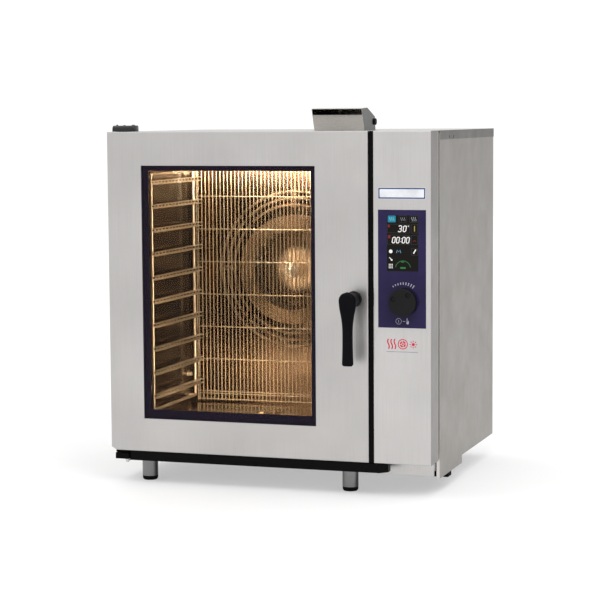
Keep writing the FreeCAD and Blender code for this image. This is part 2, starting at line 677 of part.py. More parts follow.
def drain():
    """Strainer plate in the cavity floor and the waste pipe to the back."""
    body = new_body("strainer_body")
    disc = sketch(body, "XY", "0")
    circle(disc, "0", "0", "45")
    pad(body, disc, "2")
    holes = sketch(body, "XY", "2")
    for x in range(-3, 4):
        for y in range(-3, 4):
            if x * x + y * y < 10:
                circle(holes, str(9 * x), str(9 * y), "2.5")
    pocket(body, holes, "3", False)
    place(body, "drain_x", "drain_y", "cavity_floor_z")
    keep(body, "drain_strainer")
    drop = rod("waste_drop", "Z", ("drain_x", "drain_y", "waste_level - 18"),
               "cavity_floor_z - waste_level + 18", "19.9")
    run = rod("waste_run", "Y", ("drain_x", "drain_y", "waste_level"), "rear_y - drain_y", "19")
    spigot = rod("waste_spigot", "Y", ("drain_x", "rear_y", "waste_level"), "rear_end - rear_y",
                 "spigot_radius")
    drop_bore = rod("waste_drop_bore", "Z", ("drain_x", "drain_y", "waste_level - 16"),
                    "cavity_floor_z - waste_level + 18", "18")
    run_bore = rod("waste_run_bore", "Y", ("drain_x", "drain_y", "waste_level"), "rear_end", "18")
    keep(cut("waste_pipe", fuse("waste_solid", drop, run, spigot), drop_bore, run_bore),
         "drain_pipe")


def vent():
    """Exhaust pipe with a butterfly flap, under a hood that is open along its front edge."""
    pipe = tube("vent_tube", "Z", ("vent_x", "vent_y", "cavity_top"), "flap_z + 16 - cavity_top",
                "vent_radius", "vent_radius - 1.5")
    pivot = rod("vent_pivot_hole", "Y", ("vent_x", "vent_y - 40", "flap_z"), "80",
                "pivot_radius")
    keep(cut("vent_drilled", pipe, pivot), "vent_pipe")
    body = new_body("hood_body")
    sk = sketch(body, "YZ", "hood_left")
    outline(sk, [("-205", "body_top"), ("hood_front", "mouth_high + 1.5"), ("-176", "mouth_high + 4"),
                 ("hood_back - 5", "1031"), ("hood_back", "body_top")])
    pad(body, sk, "hood_width")
    inside = sketch(body, "YZ", "hood_left + skin")
    outline(inside, [("-203.4", "body_top"), ("hood_front + 2.5", "mouth_high"),
                     ("-176", "mouth_high + 2.4"), ("hood_back - 6.5", "1029.9"),
                     ("hood_back - 1.6", "body_top")])
    pocket(body, inside, "hood_width - 2 * skin")
    mouth = sketch(body, "XZ", "hood_front - 10")
    rectangle(mouth, ("hood_left + skin", "hood_left + hood_width - skin"),
              ("mouth_low", "mouth_high"))
    pocket(body, mouth, "25")
    pivot_exit = sketch(body, "XZ", "hood_back - 14")
    circle(pivot_exit, "vent_x", "flap_z", "pivot_radius")
    pocket(body, pivot_exit, "20")
    keep(body, "vent_hood")
    spindle = rod("flap_spindle", "Y", ("vent_x", "vent_y - 24", "flap_z"), "103", "3")
    disc = rod("flap_disc", "X", ("vent_x - 1", "vent_y", "flap_z"), "2", "vent_radius - 2.5")
    keep(fuse("flap_welded", spindle, disc), "vent_flap")
    knob = new_body("vent_knob_body")
    grip = sketch(knob, "XZ", "0")
    circle(grip, "0", "0", "hood_knob")
    circle(grip, "0", "0", "3")
    pad(knob, grip, "13")
    place(knob, "vent_x", "hood_back + 2", "flap_z")
    keep(knob, "vent_knob")


# ---------------------------------------------------------------- door

def door_skin():
    """Folded outer door sheet with the window opening and hinge-side corners cut back."""
    left, right = "-body_width / 2", "door_width - body_width / 2"
    low, high = "door_bottom", "body_top"
    body = new_body("door_body")
    sk = sketch(body, "XZ", "front_y")
    outline(sk, [(left + " + 15", low), (right, low), (right, high), (left, high),
                 (left, low + " + 9")])
    pad(body, sk, "door_back - front_y")
    round_edges(body, 3, is_front_face_edge)
    hollow = sketch(body, "XZ", "front_y + skin")
    outline(hollow, [(left + " + 15.6", low + " + skin"), (right + " - skin", low + " + skin"),
                     (right + " - skin", high + " - skin"), (left + " + skin", high + " - skin"),
                     (left + " + skin", low + " + 10")])
    pocket(body, hollow, "door_back - front_y")
    window = sketch(body, "XZ", "front_y - 1")
    rectangle(window, ("glass_left", "glass_right"), ("glass_low", "glass_high"))
    pocket(body, window, "5")
    corner = sketch(body, "XZ", "door_back - corner_cut")
    rectangle(corner, (left + " - 1", left + " + skin"), (low + " - 1", high + " + 1"))
    pocket(body, corner, "corner_cut + 1")
    bores = sketch(body, "XY", low + " - 1")
    circle(bores, "hinge_x", "hinge_y", "pin_radius + running_gap")
    pocket(body, bores, "body_top - door_bottom + 2")
    spindle = sketch(body, "XZ", "front_y - 1")
    circle(spindle, "handle_x", "handle_z", "spindle_radius + running_gap")
    pocket(body, spindle, "5")
    keep(body, "door_skin")


def is_front_face_edge(edge):
    """An upright or level edge in the door's front plane."""
    box = edge.BoundBox
    return box.YMax < sheet_value("front_y") + 0.01


def door_inner_frame():
    """Pressed inner door sheet: a raised rim that meets the seal and a recess for the glass."""
    body = new_body("inner_frame_body")
    outer_x = ("-body_width / 2 + corner_cut + 4", "door_width - body_width / 2 - skin")
    outer_z = ("door_bottom + skin", "body_top - skin")
    back = sketch(body, "XZ", "door_back - inner_depth")
    rectangle(back, outer_x, outer_z)
    pad(body, back, "inner_depth")
    recess = sketch(body, "XZ", "door_back")
    rectangle(recess, ("glass_left - 32", "glass_right + 20"), ("glass_low - 16", "glass_high + 16"))
    pocket(body, recess, "4.5", False)
    dish = sketch(body, "XZ", "door_back - inner_depth")
    rectangle(dish, (outer_x[0] + " + skin", outer_x[1] + " - skin"),
              (outer_z[0] + " + skin", outer_z[1] + " - skin"))
    rectangle(dish, ("glass_left - 34", "glass_right + 22"), ("glass_low - 18", "glass_high + 18"))
    pocket(body, dish, "4.5")
    opening = sketch(body, "XZ", "door_back - inner_depth - 1")
    rectangle(opening, ("glass_left - 10", "glass_right - 14"),
              ("glass_low + 14", "glass_high - 14"))
    rectangle(opening, ("handle_x - case_half", "handle_x + case_half"),
              ("handle_z - 42", "handle_z + 42"))
    pocket(body, opening, "inner_depth + 2")
    keep(body, "door_inner_frame")


def door_glass():
    """Flush outer pane, inner pane in the recess behind, and the clips and bars that hold them."""
    outer = new_body("outer_glass_body")
    sk = sketch(outer, "XZ", "front_y + 0.3")
    rectangle(sk, ("glass_left + 0.3", "glass_right - 0.3"), ("glass_low + 0.3", "glass_high - 0.3"))
    pad(outer, sk, "6")
    keep(outer, "outer_glass")
    inner = new_body("inner_glass_body")
    pane = sketch(inner, "XZ", "door_back - 4.5")
    rectangle(pane, ("glass_left - 30", "glass_right + 18"), ("glass_low - 14", "glass_high + 14"))
    pad(inner, pane, "4")
    keep(inner, "inner_glass")
    clips = []
    for i, z in enumerate(("glass_low + 90", "glass_high - 90")):
        for j, x in enumerate(("glass_left - 38", "glass_right + 10")):
            clips.append(block("glass_clip_%d%d" % (i, j), (x, x + " + 16"),
                               ("door_back", "door_back + 3"), (z + " - 12", z + " + 12")))
    for i, z in enumerate(("glass_low + 5", "glass_high - 9")):
        clips.append(block("glass_bar_%d" % i, ("glass_left + 2", "glass_right - 2"),
                           ("front_y + 6.3", "door_back - 6"), (z, z + " + 4")))
    keep(group("holder_set", *clips), "glass_holders")


def hinge():
    """Upper and lower brackets, each with a pin that runs in the door's bores."""
    xs = ("hinge_x - arm_left", "hinge_x + arm_right")
    arm = block("top_arm", xs, ("hinge_y - 16", "hinge_back"), ("body_top + 2", "body_top + 8"))
    foot_plate = block("top_foot", xs, ("frame_y", "hinge_back"), ("body_top", "body_top + 2"))
    pin = rod("top_pin", "Z", ("hinge_x", "hinge_y", "body_top - 20"), "24", "pin_radius")
    keep(fuse("top_bracket", arm, foot_plate, pin), "hinge_bracket_top")
    cap_outer = block("cap_outer", ("hinge_x - cap_left", "hinge_x + cap_right"),
                      ("hinge_y - cap_front", "hinge_y + cap_back"),
                      ("body_top + 0.5", "body_top + cap_high"))
    cap_hollow = block("cap_hollow",
                       ("hinge_x - cap_left + cap_wall", "hinge_x + cap_right - cap_wall"),
                       ("hinge_y - cap_front + cap_wall", "hinge_y + cap_back - cap_wall"),
                       ("body_top", "body_top + cap_high - cap_wall"))
    arm_gap = block("cap_arm_gap",
                    ("hinge_x - cap_left + cap_wall", "hinge_x + arm_right + 0.5"),
                    ("hinge_y + cap_back - 3", "hinge_y + cap_back + 1"),
                    ("body_top", "body_top + 8.5"))
    keep(cut("hinge_cap_cut", cap_outer, cap_hollow, arm_gap), "hinge_cap_top")
    low_xs = ("hinge_x - 16", "hinge_x + 24")
    shelf = block("low_shelf", low_xs, ("hinge_y - 18", "frame_y"),
                  ("door_bottom - 9", "door_bottom - 2"))
    upright = block("low_upright", low_xs, ("frame_y - 6", "frame_y"),
                    ("pan_z + 3", "door_bottom - 2"))
    low_pin = rod("low_pin", "Z", ("hinge_x", "hinge_y", "door_bottom - 5"), "25", "pin_radius")
    keep(fuse("low_bracket", shelf, upright, low_pin), "hinge_bracket_bottom")


def drip_tray():
    """Black gutter under the door with a pointed end below the column."""
    body = new_body("tray_body")
    sk = sketch(body, "XY", "pan_z + tray_wall")
    outline(sk, tray_outline("0"))
    pad(body, sk, "tray_depth")
    trough = sketch(body, "XY", "pan_z + 2 * tray_wall")
    outline(trough, tray_outline("tray_wall"))
    pocket(body, trough, "tray_depth - 2", True)
    keep(body, "drip_tray")


def tray_outline(inset):
    """Corners of the tray seen from above, moved inwards by its wall."""
    left, right, front = "tray_left + " + inset, "tray_right - " + inset, "tray_front + " + inset
    back, tip = "frame_y - " + inset, "tray_tip - " + inset
    return [(left, back), (left, front + " + 6"), (left + " + 6", front), (right, front),
            (tip, front + " + 20"), (tip, front + " + 42"), (right, back)]


def handle():
    """Door boss, lever with a rounded head, and the latch spindle with its cam."""
    boss = new_body("boss_body")
    sk = sketch(boss, "XZ", "boss_face")
    circle(sk, "handle_x", "handle_z", "boss_radius")
    circle(sk, "handle_x", "handle_z", "spindle_radius + running_gap")
    pad(boss, sk, "front_y - boss_face")
    keep(boss, "handle_boss")
    lever = new_body("lever_body")
    head = sketch(lever, "XZ", "lever_back")
    circle(head, "handle_x", "handle_z", "hub_radius")
    pad(lever, head, "lever_back - lever_front", False)
    grip = sketch(lever, "XZ", "lever_back")
    outline(grip, [("handle_x - hub_radius + 1", "handle_z - 5"), ("handle_x - 15.5", "handle_z - 62"),
                   ("handle_x - 13", "handle_z - 110"), ("handle_x - 13.5", "handle_z - 145"),
                   ("handle_x - 15.5", "handle_end"), ("handle_x + 15.5", "handle_end"),
                   ("handle_x + 13.5", "handle_z - 145"), ("handle_x + 13", "handle_z - 110"),
                   ("handle_x + 15.5", "handle_z - 62"), ("handle_x + hub_radius - 1", "handle_z - 5")])
    pad(lever, grip, "lever_back - lever_front", False)
    round_edges(lever, 7, is_face_edge_of_lever)
    neck = sketch(lever, "XZ", "boss_face - 0.4")
    circle(neck, "handle_x", "handle_z", "neck_width")
    pad(lever, neck, "boss_face - 0.4 - lever_back", False)
    socket = sketch(lever, "XZ", "boss_face")
    circle(socket, "handle_x", "handle_z", "spindle_radius")
    pocket(lever, socket, "boss_face - lever_back", False)
    keep(lever, "handle_lever")
    bar = rod("latch_bar", "Y", ("handle_x", "lever_back", "handle_z"),
              "door_back - 4 - lever_back", "spindle_radius")
    cam = block("latch_cam_blade", ("handle_x - 8", "handle_x + 8"),
                ("door_back - 10", "door_back - 4"), ("handle_z - 26", "handle_z + 6"))
    keep(fuse("latch_turned", bar, cam), "latch_spindle")
    case = block("latch_case", ("handle_x - case_half", "handle_x + case_half"),
                 ("front_y + skin", "front_y + 40"), ("handle_z - 45", "handle_z + 45"))
    case_bore = rod("latch_case_bore", "Y", ("handle_x", "front_y", "handle_z"), "60",
                    "spindle_radius + running_gap")
    keep(cut("latch_case_cut", case, case_bore), "latch_housing")
    base = block("striker_base", ("handle_x - 20", "handle_x + 20"),
                 ("frame_y - 3", "frame_y"), ("handle_z + 12", "handle_z + 60"))
    pin = rod("striker_pin", "Y", ("handle_x", "door_back - 12", "handle_z + 36"),
              "frame_y - door_back + 12", "5")
    keep(fuse("striker_welded", base, pin), "latch_striker")


def is_face_edge_of_lever(edge):
    """An edge in the lever's front or back plane."""
    box = edge.BoundBox
    flat = box.YLength < 0.01
    return flat and (abs(box.YMin - sheet_value("lever_front")) < 0.01
                     or abs(box.YMin - sheet_value("lever_back")) < 0.01)


# ---------------------------------------------------------------- control column

def column_housing():
    """Folded cover of the control column with openings for the glass and the wiring."""
    right = "body_width / 2"
    body = new_body("column_body")
    sk = sketch(body, "XZ", "front_y")
    rectangle(sk, ("column_left", right), ("door_bottom", "body_top"))
    pad(body, sk, "column_back - front_y")
    round_edges(body, 3, is_front_face_edge)
    hollow = sketch(body, "XZ", "front_y + skin")
    rectangle(hollow, ("column_left + skin", right + " - skin"),
              ("door_bottom + skin", "body_top - skin"))
    pocket(body, hollow, "column_back - front_y")
    window = sketch(body, "XZ", "front_y - 1")
    rectangle(window, ("panel_left", "panel_right"), ("panel_low", "panel_high"))
    pocket(body, window, "5")
    keep(body, "column_housing")


def control_panel():
    """Flush control glass with the display, the encoder and its push shaft behind it."""
    glass = new_body("control_glass_body")
    sk = sketch(glass, "XZ", "front_y - 0.2")
    rectangle(sk, ("panel_left + 0.2", "panel_right - 0.2"), ("panel_low + 0.2", "panel_high - 0.2"))
    circle(sk, "knob_x", "knob_z", "6")
    pad(glass, sk, "glass_sheet")
    keep(glass, "control_glass")
    screen = block("screen_block", ("knob_x - 55", "knob_x + 48"),
                   ("front_y + glass_sheet - 0.2", "front_y + 17"), ("611", "776"))
    board = block("screen_board", ("knob_x - 62", "knob_x + 55"),
                  ("front_y + 17", "front_y + 19"), ("590", "780"))
    keep(fuse("display_fused", screen, board), "display_module")
    case = block("encoder_case", ("knob_x - encoder_half", "knob_x + encoder_half"),
                 ("front_y + glass_sheet - 0.2", "front_y + 28"),
                 ("knob_z - encoder_half", "knob_z + encoder_half"))
    bore = rod("encoder_bore", "Y", ("knob_x", "front_y", "knob_z"), "26",
               "key_radius + running_gap")
    keep(cut("encoder_cut", case, bore), "encoder_body")
    keep(rod("encoder_shaft_rod", "Y", ("knob_x", "knob_front + 4", "knob_z"), "42",
             "key_radius"), "encoder_shaft")
    knob = new_body("knob_body")
    face = sketch(knob, "XZ", "0")
    circle(face, "0", "0", "knob_radius")
    pad(knob, face, "knob_back - knob_front", False)
    socket = sketch(knob, "XZ", "1")
    circle(socket, "0", "0", "key_radius + running_gap")
    pocket(knob, socket, "knob_back - knob_front - 2.7", False)
    dimples = sketch(knob, "XZ", "knob_front - knob_back")
    for u, v in (("-24", "9"), ("17", "20")):
        circle(dimples, u, v, "7.5")
    pocket(knob, dimples, "4")
    round_edges(knob, 2, is_knob_rim)
    place(knob, "knob_x", "knob_back", "knob_z")
    keep(knob, "control_knob")


def is_knob_rim(edge):
    """The outer front edge of the knob."""
    box = edge.BoundBox
    in_front = abs(box.YMax - sheet_value("knob_front - knob_back")) < 0.01
    return in_front and box.XLength > sheet_value("knob_radius")


def electrics():
    """Contactor plate, cooling fan and cable gland behind the column and at the back."""
    plate = block("power_plate", ("plate_face", "plate_face + 3"), ("-plate_half", "plate_half"),
                  ("plate_low", "plate_high"))
    parts = [block("contactor_%d" % i, ("plate_face - 50", "plate_face"), ("-130", "-60"),
                   ("plate_low + 20 + 90 * %d" % i, "plate_low + 90 + 90 * %d" % i))
             for i in range(4)]
    parts += [block("relay_%d" % i, ("plate_face - 35", "plate_face"),
                    ("50 * %d - 20" % i, "50 * %d + 15" % i),
                    ("plate_low + 40", "plate_low + 120")) for i in range(3)]
    terminals = block("terminal_row", ("plate_face - 30", "plate_face"), ("-40", "130"),
                      ("plate_low + 180", "plate_low + 210"))
    stay = block("plate_stay", ("plate_face + 3", "body_width / 2 - lip - skin"),
                 ("-plate_half", "10 - plate_half"), ("plate_low", "plate_high"))
    keep(fuse("power_fused", plate, stay, terminals, *parts), "power_module")

    body = new_body("fan_frame_body")
    sk = sketch(body, "XZ", "rear_y - skin - cooler_depth")
    rectangle(sk, ("cooler_x - cooler_half", "cooler_x + cooler_half"),
              ("cooler_z - cooler_half", "cooler_z + cooler_half"))
    circle(sk, "cooler_x", "cooler_z", "cooler_bore")
    pad(body, sk, "cooler_depth")
    hub = sketch(body, "XZ", "rear_y - skin - 6")
    circle(hub, "cooler_x", "cooler_z", "20")
    circle(hub, "cooler_x", "cooler_z", "4 + running_gap")
    pad(body, hub, "6")
    arms = sketch(body, "XZ", "rear_y - skin - 5")
    for near, far in (("-59", "-19"), ("19", "59")):
        rectangle(arms, ("cooler_x + " + near, "cooler_x + " + far),
                  ("cooler_z - 3", "cooler_z + 3"))
    pad(body, arms, "4")
    keep(body, "cooling_fan_frame")

    rotor = new_body("rotor_body")
    core = sketch(rotor, "XZ", "362")
    circle(core, "0", "0", "22")
    pad(rotor, core, "26")
    vane = sketch(rotor, "XZ", "364")
    outline(vane, [("20", "-3"), ("54", "8"), ("54", "11"), ("20", "0")])
    vane_pad = pad(rotor, vane, "20")
    pattern = rotor.newObject("PartDesign::PolarPattern", "rotor_vanes")
    pattern.Originals = [vane_pad]
    pattern.Axis = (vane, ["N_Axis"])
    pattern.Angle = FULL_TURN
    pattern.Occurrences = 7
    rotor.Tip = pattern
    doc.recompute()
    axle = sketch(rotor, "XZ", "388")
    circle(axle, "0", "0", "4")
    pad(rotor, axle, "6")
    place(rotor, "cooler_x", "0", "cooler_z")
    keep(rotor, "cooling_fan_rotor")

    body = new_body("gland_body")
    sk = sketch(body, "XY", "0")
    outline(sk, [("10", "0"), ("gland_radius", "0"), ("gland_radius", "8"), ("24", "8"),
                 ("24", "20"), ("19", "20"), ("16", "35"), ("10", "35")])
    revolve(body, sk)
    place(body, "gland_x", "rear_end - 35", "service_z")
    keep(body, "cable_gland")


def screws():
    """Button-head screws of the back panel."""
    heads = []
    for i, x in enumerate(("-440", "-150", "150", "440")):
        for j, z in enumerate(("pan_z + 40", "body_top - 20")):
            heads.append(rod("back_screw_%d%d" % (i, j), "Y", (x, "rear_y", z), "2", "4"))
    keep(group("screw_set", *heads), "panel_screws")


BUILDERS = [base_chassis, legs, plinth, top_cover, back_panel, front_frame, cavity_plates,
            insulation, door_seal, fan_guard, heating_element, fan_motor, fan_wheel,
            steam_generator, water_valves, drain, vent, door_skin, door_inner_frame, door_glass,
            hinge, drip_tray, handle, column_housing, control_panel, electrics, screws]
for build in BUILDERS:
    build()
for side in ("left", "right"):
    side_panel(side)
    rack(side)
doc.recompute()

for obj in doc.Objects:
    if "Invalid" in obj.State or "Error" in obj.State:
        raise RuntimeError("failed: %s %s" % (obj.Name, obj.State))
os.makedirs("parts", exist_ok=True)
for obj in SUBPARTS:
    if obj.Shape.isNull() or not obj.Shape.isValid():
        raise RuntimeError("bad shape: " + obj.Label)
    obj.Shape.exportStep("parts/%s.step" % obj.Label)
print(len(SUBPARTS), "sub-parts written")
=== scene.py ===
import bmesh
import bpy
import math
from mathutils import Matrix, Vector

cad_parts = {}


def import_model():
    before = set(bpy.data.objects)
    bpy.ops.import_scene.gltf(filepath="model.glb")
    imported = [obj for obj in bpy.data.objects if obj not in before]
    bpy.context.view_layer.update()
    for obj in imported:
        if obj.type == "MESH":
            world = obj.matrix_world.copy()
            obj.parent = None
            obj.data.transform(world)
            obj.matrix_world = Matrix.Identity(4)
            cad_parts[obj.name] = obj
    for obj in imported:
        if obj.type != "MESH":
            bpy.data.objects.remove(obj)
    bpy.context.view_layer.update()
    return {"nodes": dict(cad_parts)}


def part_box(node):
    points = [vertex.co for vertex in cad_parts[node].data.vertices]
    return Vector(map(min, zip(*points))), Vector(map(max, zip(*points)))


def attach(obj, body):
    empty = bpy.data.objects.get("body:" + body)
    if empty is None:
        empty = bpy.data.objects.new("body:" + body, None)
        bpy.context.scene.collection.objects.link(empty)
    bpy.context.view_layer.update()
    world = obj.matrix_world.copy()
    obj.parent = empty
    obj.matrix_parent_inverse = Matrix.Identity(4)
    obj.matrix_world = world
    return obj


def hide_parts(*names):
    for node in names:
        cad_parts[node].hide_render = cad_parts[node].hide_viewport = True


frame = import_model()

MM = 0.001


def in_mm(points):
    """Pairs of millimetres as pairs of metres."""
    return [(u * MM, v * MM) for u, v in points]


# ---------------------------------------------------------------- where things are

def span(node):
    """Lowest and highest corner of a CAD node, in metres."""
    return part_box(node)


DOOR_LOW, DOOR_HIGH = span("door_skin")
PANE_LOW, PANE_HIGH = span("outer_glass")
COLUMN_LOW, COLUMN_HIGH = span("column_housing")
PANEL_LOW, PANEL_HIGH = span("control_glass")
KNOB_LOW, KNOB_HIGH = span("control_knob")
KNOB_CENTRE = (KNOB_LOW + KNOB_HIGH) / 2
FLOOR_LOW, FLOOR_HIGH = span("cavity_floor")
CAVITY_LOW = Vector((FLOOR_LOW.x, span("front_frame")[0].y, FLOOR_HIGH.z))
CAVITY_HIGH = Vector((FLOOR_HIGH.x, span("cavity_wall_rear")[0].y, span("cavity_ceiling")[0].z))
FAN_LOW, FAN_HIGH = span("fan_impeller")
FAN_CENTRE = (FAN_LOW + FAN_HIGH) / 2
FRONT = DOOR_LOW.y
FORWARDS = Vector((0, -1, 0))


# ---------------------------------------------------------------- material tools

MATERIALS = {}

# sockets of the Mix node
VALUE_A, VALUE_B, COLOUR_A, COLOUR_B = 2, 3, 6, 7
MIXED_VALUE, MIXED_COLOUR = 0, 2


def new_material(name):
    """A node material of this name, kept in MATERIALS, with its tree and its shader."""
    material = bpy.data.materials.new(name)
    material.use_nodes = True
    MATERIALS[name] = material
    return material.node_tree, material.node_tree.nodes["Principled BSDF"]


def add(tree, kind, inputs=None, **settings):
    """One node, with its settings made and its inputs set or linked."""
    node = tree.nodes.new(kind)
    for key, value in settings.items():
        setattr(node, key, value)
    for key, value in (inputs or {}).items():
        if isinstance(value, bpy.types.NodeSocket):
            tree.links.new(value, node.inputs[key])
        else:
            node.inputs[key].default_value = value
    return node


def noise(tree, vector, scale, detail=3.0):
    return add(tree, "ShaderNodeTexNoise",
               {"Vector": vector, "Scale": scale, "Detail": detail}).outputs["Fac"]


def stretch(tree, value, start, end, low, high):
    """A value between start and end, turned into one between low and high."""
    return add(tree, "ShaderNodeMapRange", {"Value": value, "From Min": start, "From Max": end,
                                            "To Min": low, "To Max": high}).outputs["Result"]


def spread(tree, value, low, high):
    """A noise value stretched from its middle band to low..high."""
    return stretch(tree, value, 0.3, 0.7, low, high)


def times(tree, first, second):
    return add(tree, "ShaderNodeMath", {0: first, 1: second}, operation="MULTIPLY").outputs[0]


def tinted(tree, colour, factor):
    """A colour made lighter or darker by a factor."""
    node = add(tree, "ShaderNodeVectorMath", {0: colour, "Scale": factor}, operation="SCALE")
    return node.outputs[0]


def object_place(tree):
    return add(tree, "ShaderNodeTexCoord").outputs["Object"]


def set_relief(tree, shader, height, edge, strength):
    """Fine relief on the surface, and edges that catch the light as if rounded."""
    rounded = add(tree, "ShaderNodeBevel", {"Radius": edge}, samples=4).outputs["Normal"]
    relief = add(tree, "ShaderNodeBump", {"Height": height, "Normal": rounded,
                                          "Strength": strength, "Distance": 0.05 * MM})
    tree.links.new(relief.outputs[0], shader.inputs["Normal"])


def with_painted_side_shade(tree, colour, painted_side_shade):
    """Painted shade: the colour, changed to a darker tone on the faces towards +X and -X."""
    facing = add(tree, "ShaderNodeNewGeometry").outputs["True Normal"]
    across = add(tree, "ShaderNodeSeparateXYZ", {0: facing}).outputs["X"]
    size = add(tree, "ShaderNodeMath", {0: across}, operation="ABSOLUTE").outputs[0]
    side = stretch(tree, size, 0.75, 0.95, 0.0, 1.0)
    mixed = add(tree, "ShaderNodeMix", {0: side, COLOUR_A: (*colour, 1), COLOUR_B: (*painted_side_shade, 1)},
                data_type="RGBA")
    return mixed.outputs[MIXED_COLOUR]


def with_fan_rings(tree, place, colour, ring_tone):
    """The colour round the fan's hub, a darker tone further out and a lighter one at its blades."""
    reach_at_end, blade_factor = 200 * MM, 2.2
    blade_tone = tuple(tone * blade_factor for tone in ring_tone)
    arm = add(tree, "ShaderNodeVectorMath", {0: place, 1: FAN_CENTRE}, operation="SUBTRACT")
    flat = add(tree, "ShaderNodeVectorMath", {0: arm.outputs[0], 1: (1, 0, 1)},
               operation="MULTIPLY")
    reach = add(tree, "ShaderNodeVectorMath", {0: flat.outputs[0]}, operation="LENGTH")
    part = times(tree, reach.outputs["Value"], 1 / reach_at_end)
    ramp = add(tree, "ShaderNodeValToRGB", {"Fac": part})
    stops = ramp.color_ramp.elements
    stops[0].position, stops[0].color = 0.24, (*colour, 1)
    stops[1].position, stops[1].color = 0.36, (*ring_tone, 1)
    for position, tone in ((0.58, ring_tone), (0.62, blade_tone)):
        stops.new(position).color = (*tone, 1)
    return ramp.outputs["Color"]


def metal(name, colour, rough, grain, streak=0.05, cloud=0.06, painted_side_shade=None, fan_ring_tone=None):
    """Steel with a fine grain, cloudy handling marks and edges that catch the light.

    The side tone is painted shade: a darker colour on the faces towards +X and -X.
    The ring tone is the darker tone of a wheel outside its lighter middle.
    """
    tree, shader = new_material(name)
    place = object_place(tree)
    if painted_side_shade is not None:
        colour = with_painted_side_shade(tree, colour, painted_side_shade)
    if fan_ring_tone is not None:
        colour = with_fan_rings(tree, place, colour, fan_ring_tone)
    grained = add(tree, "ShaderNodeMapping", {"Vector": place, "Scale": grain}).outputs[0]
    lines = noise(tree, grained, 1.0)
    clouds = noise(tree, place, 5.0, 5.0)
    shade = times(tree, spread(tree, lines, 1 - streak, 1 + streak),
                  spread(tree, clouds, 1 - cloud, 1 + cloud))
    tree.links.new(tinted(tree, colour, shade), shader.inputs["Base Color"])
    shader.inputs["Metallic"].default_value = 1.0
    roughness = times(tree, spread(tree, lines, rough * 0.85, rough * 1.15),
                      spread(tree, noise(tree, place, 14.0, 4.0), 0.9, 1.12))
    tree.links.new(roughness, shader.inputs["Roughness"])
    set_relief(tree, shader, lines, 0.7 * MM, 0.25)


def plastic(name, colour, rough, texture=900.0, bump=0.3, shine=0.25):
    """Moulded plastic, rubber or paint with a fine skin texture and faint marks of use."""
    tree, shader = new_material(name)
    place = object_place(tree)
    skin = noise(tree, place, texture, 2.0)
    marks = noise(tree, place, 18.0, 6.0)
    tree.links.new(tinted(tree, colour, spread(tree, marks, 0.85, 1.2)),
                   shader.inputs["Base Color"])
    tree.links.new(spread(tree, marks, rough * 0.85, min(1.0, rough * 1.2)),
                   shader.inputs["Roughness"])
    shader.inputs["Specular IOR Level"].default_value = shine
    set_relief(tree, shader, skin, 0.8 * MM, bump)


def clear_glass(name, tint, gloss):
    """A thin pane: light passes straight through, with a faint mirror image and wiped smears."""
    tree, shader = new_material(name)
    tree.nodes.remove(shader)
    smear = spread(tree, noise(tree, object_place(tree), 6.0, 5.0), 0.02, 0.07)
    through = add(tree, "ShaderNodeBsdfTransparent", {"Color": (*tint, 1)})
    mirror = add(tree, "ShaderNodeBsdfGlossy", {"Color": (1, 1, 1, 1), "Roughness": smear})
    fresnel = add(tree, "ShaderNodeFresnel", {"IOR": 1.45})
    amount = times(tree, fresnel.outputs[0], gloss)
    both = add(tree, "ShaderNodeMixShader", {0: amount, 1: through.outputs[0],
                                             2: mirror.outputs[0]})
    tree.links.new(both.outputs[0], tree.nodes["Material Output"].inputs["Surface"])


def print_ink(name, colour, rough=0.35):
    """Screen-printed ink with a slightly uneven tone."""
    tree, shader = new_material(name)
    tone = spread(tree, noise(tree, object_place(tree), 60.0, 4.0), 0.92, 1.08)
    tree.links.new(tinted(tree, colour, tone), shader.inputs["Base Color"])
    shader.inputs["Roughness"].default_value = rough
    shader.inputs["Specular IOR Level"].default_value = 0.1


def screen_glow(name, colour, strength):
    """A lit element of the display, with a fine pixel grain in its brightness."""
    tree, shader = new_material(name)
    grain = spread(tree, noise(tree, object_place(tree), 2500.0, 1.0), 0.8, 1.2)
    shader.inputs["Base Color"].default_value = (0.01, 0.01, 0.01, 1)
    shader.inputs["Roughness"].default_value = 0.2
    shader.inputs["Specular IOR Level"].default_value = 0.1
    shader.inputs["Emission Color"].default_value = (*colour, 1)
    tree.links.new(times(tree, grain, strength), shader.inputs["Emission Strength"])


# ---------------------------------------------------------------- materials

UPRIGHT_GRAIN = (900, 900, 6)
ALONG_X_GRAIN = (6, 900, 900)
EVEN_GRAIN = (300, 300, 300)

metal("door_steel", (0.50, 0.485, 0.475), 0.36, UPRIGHT_GRAIN)
# The darker side tones below are painted shade on the faces towards +X and -X.
metal("column_steel", (0.54, 0.525, 0.515), 0.34, UPRIGHT_GRAIN, painted_side_shade=(0.22, 0.205, 0.20))
metal("panel_steel", (0.62, 0.60, 0.58), 0.40, UPRIGHT_GRAIN, 0.04,
      painted_side_shade=(0.29, 0.273, 0.253))
metal("lid_steel", (0.50, 0.49, 0.48), 0.42, ALONG_X_GRAIN, painted_side_shade=(0.15, 0.14, 0.135))
metal("hood_steel", (0.60, 0.575, 0.545), 0.24, ALONG_X_GRAIN, 0.03, 0.10,
      painted_side_shade=(0.08, 0.079, 0.077))
metal("cavity_steel", (0.42, 0.35, 0.28), 0.15, ALONG_X_GRAIN, 0.08, 0.3)
# The side and rear walls are the cavity's steel painted much darker than its floor and ceiling:
# painted shade.
metal("wall_steel", (0.11, 0.082, 0.058), 0.20, UPRIGHT_GRAIN, 0.10, 0.45)
metal("rear_steel", (0.080, 0.055, 0.038), 0.24, UPRIGHT_GRAIN, 0.10, 0.45)
metal("wire_steel", (0.92, 0.86, 0.78), 0.38, EVEN_GRAIN, 0.06, 0.08)
metal("guard_steel", (0.53, 0.47, 0.39), 0.34, EVEN_GRAIN, 0.06, 0.08)
metal("structure_steel", (0.42, 0.42, 0.42), 0.42, EVEN_GRAIN, 0.08, 0.12)
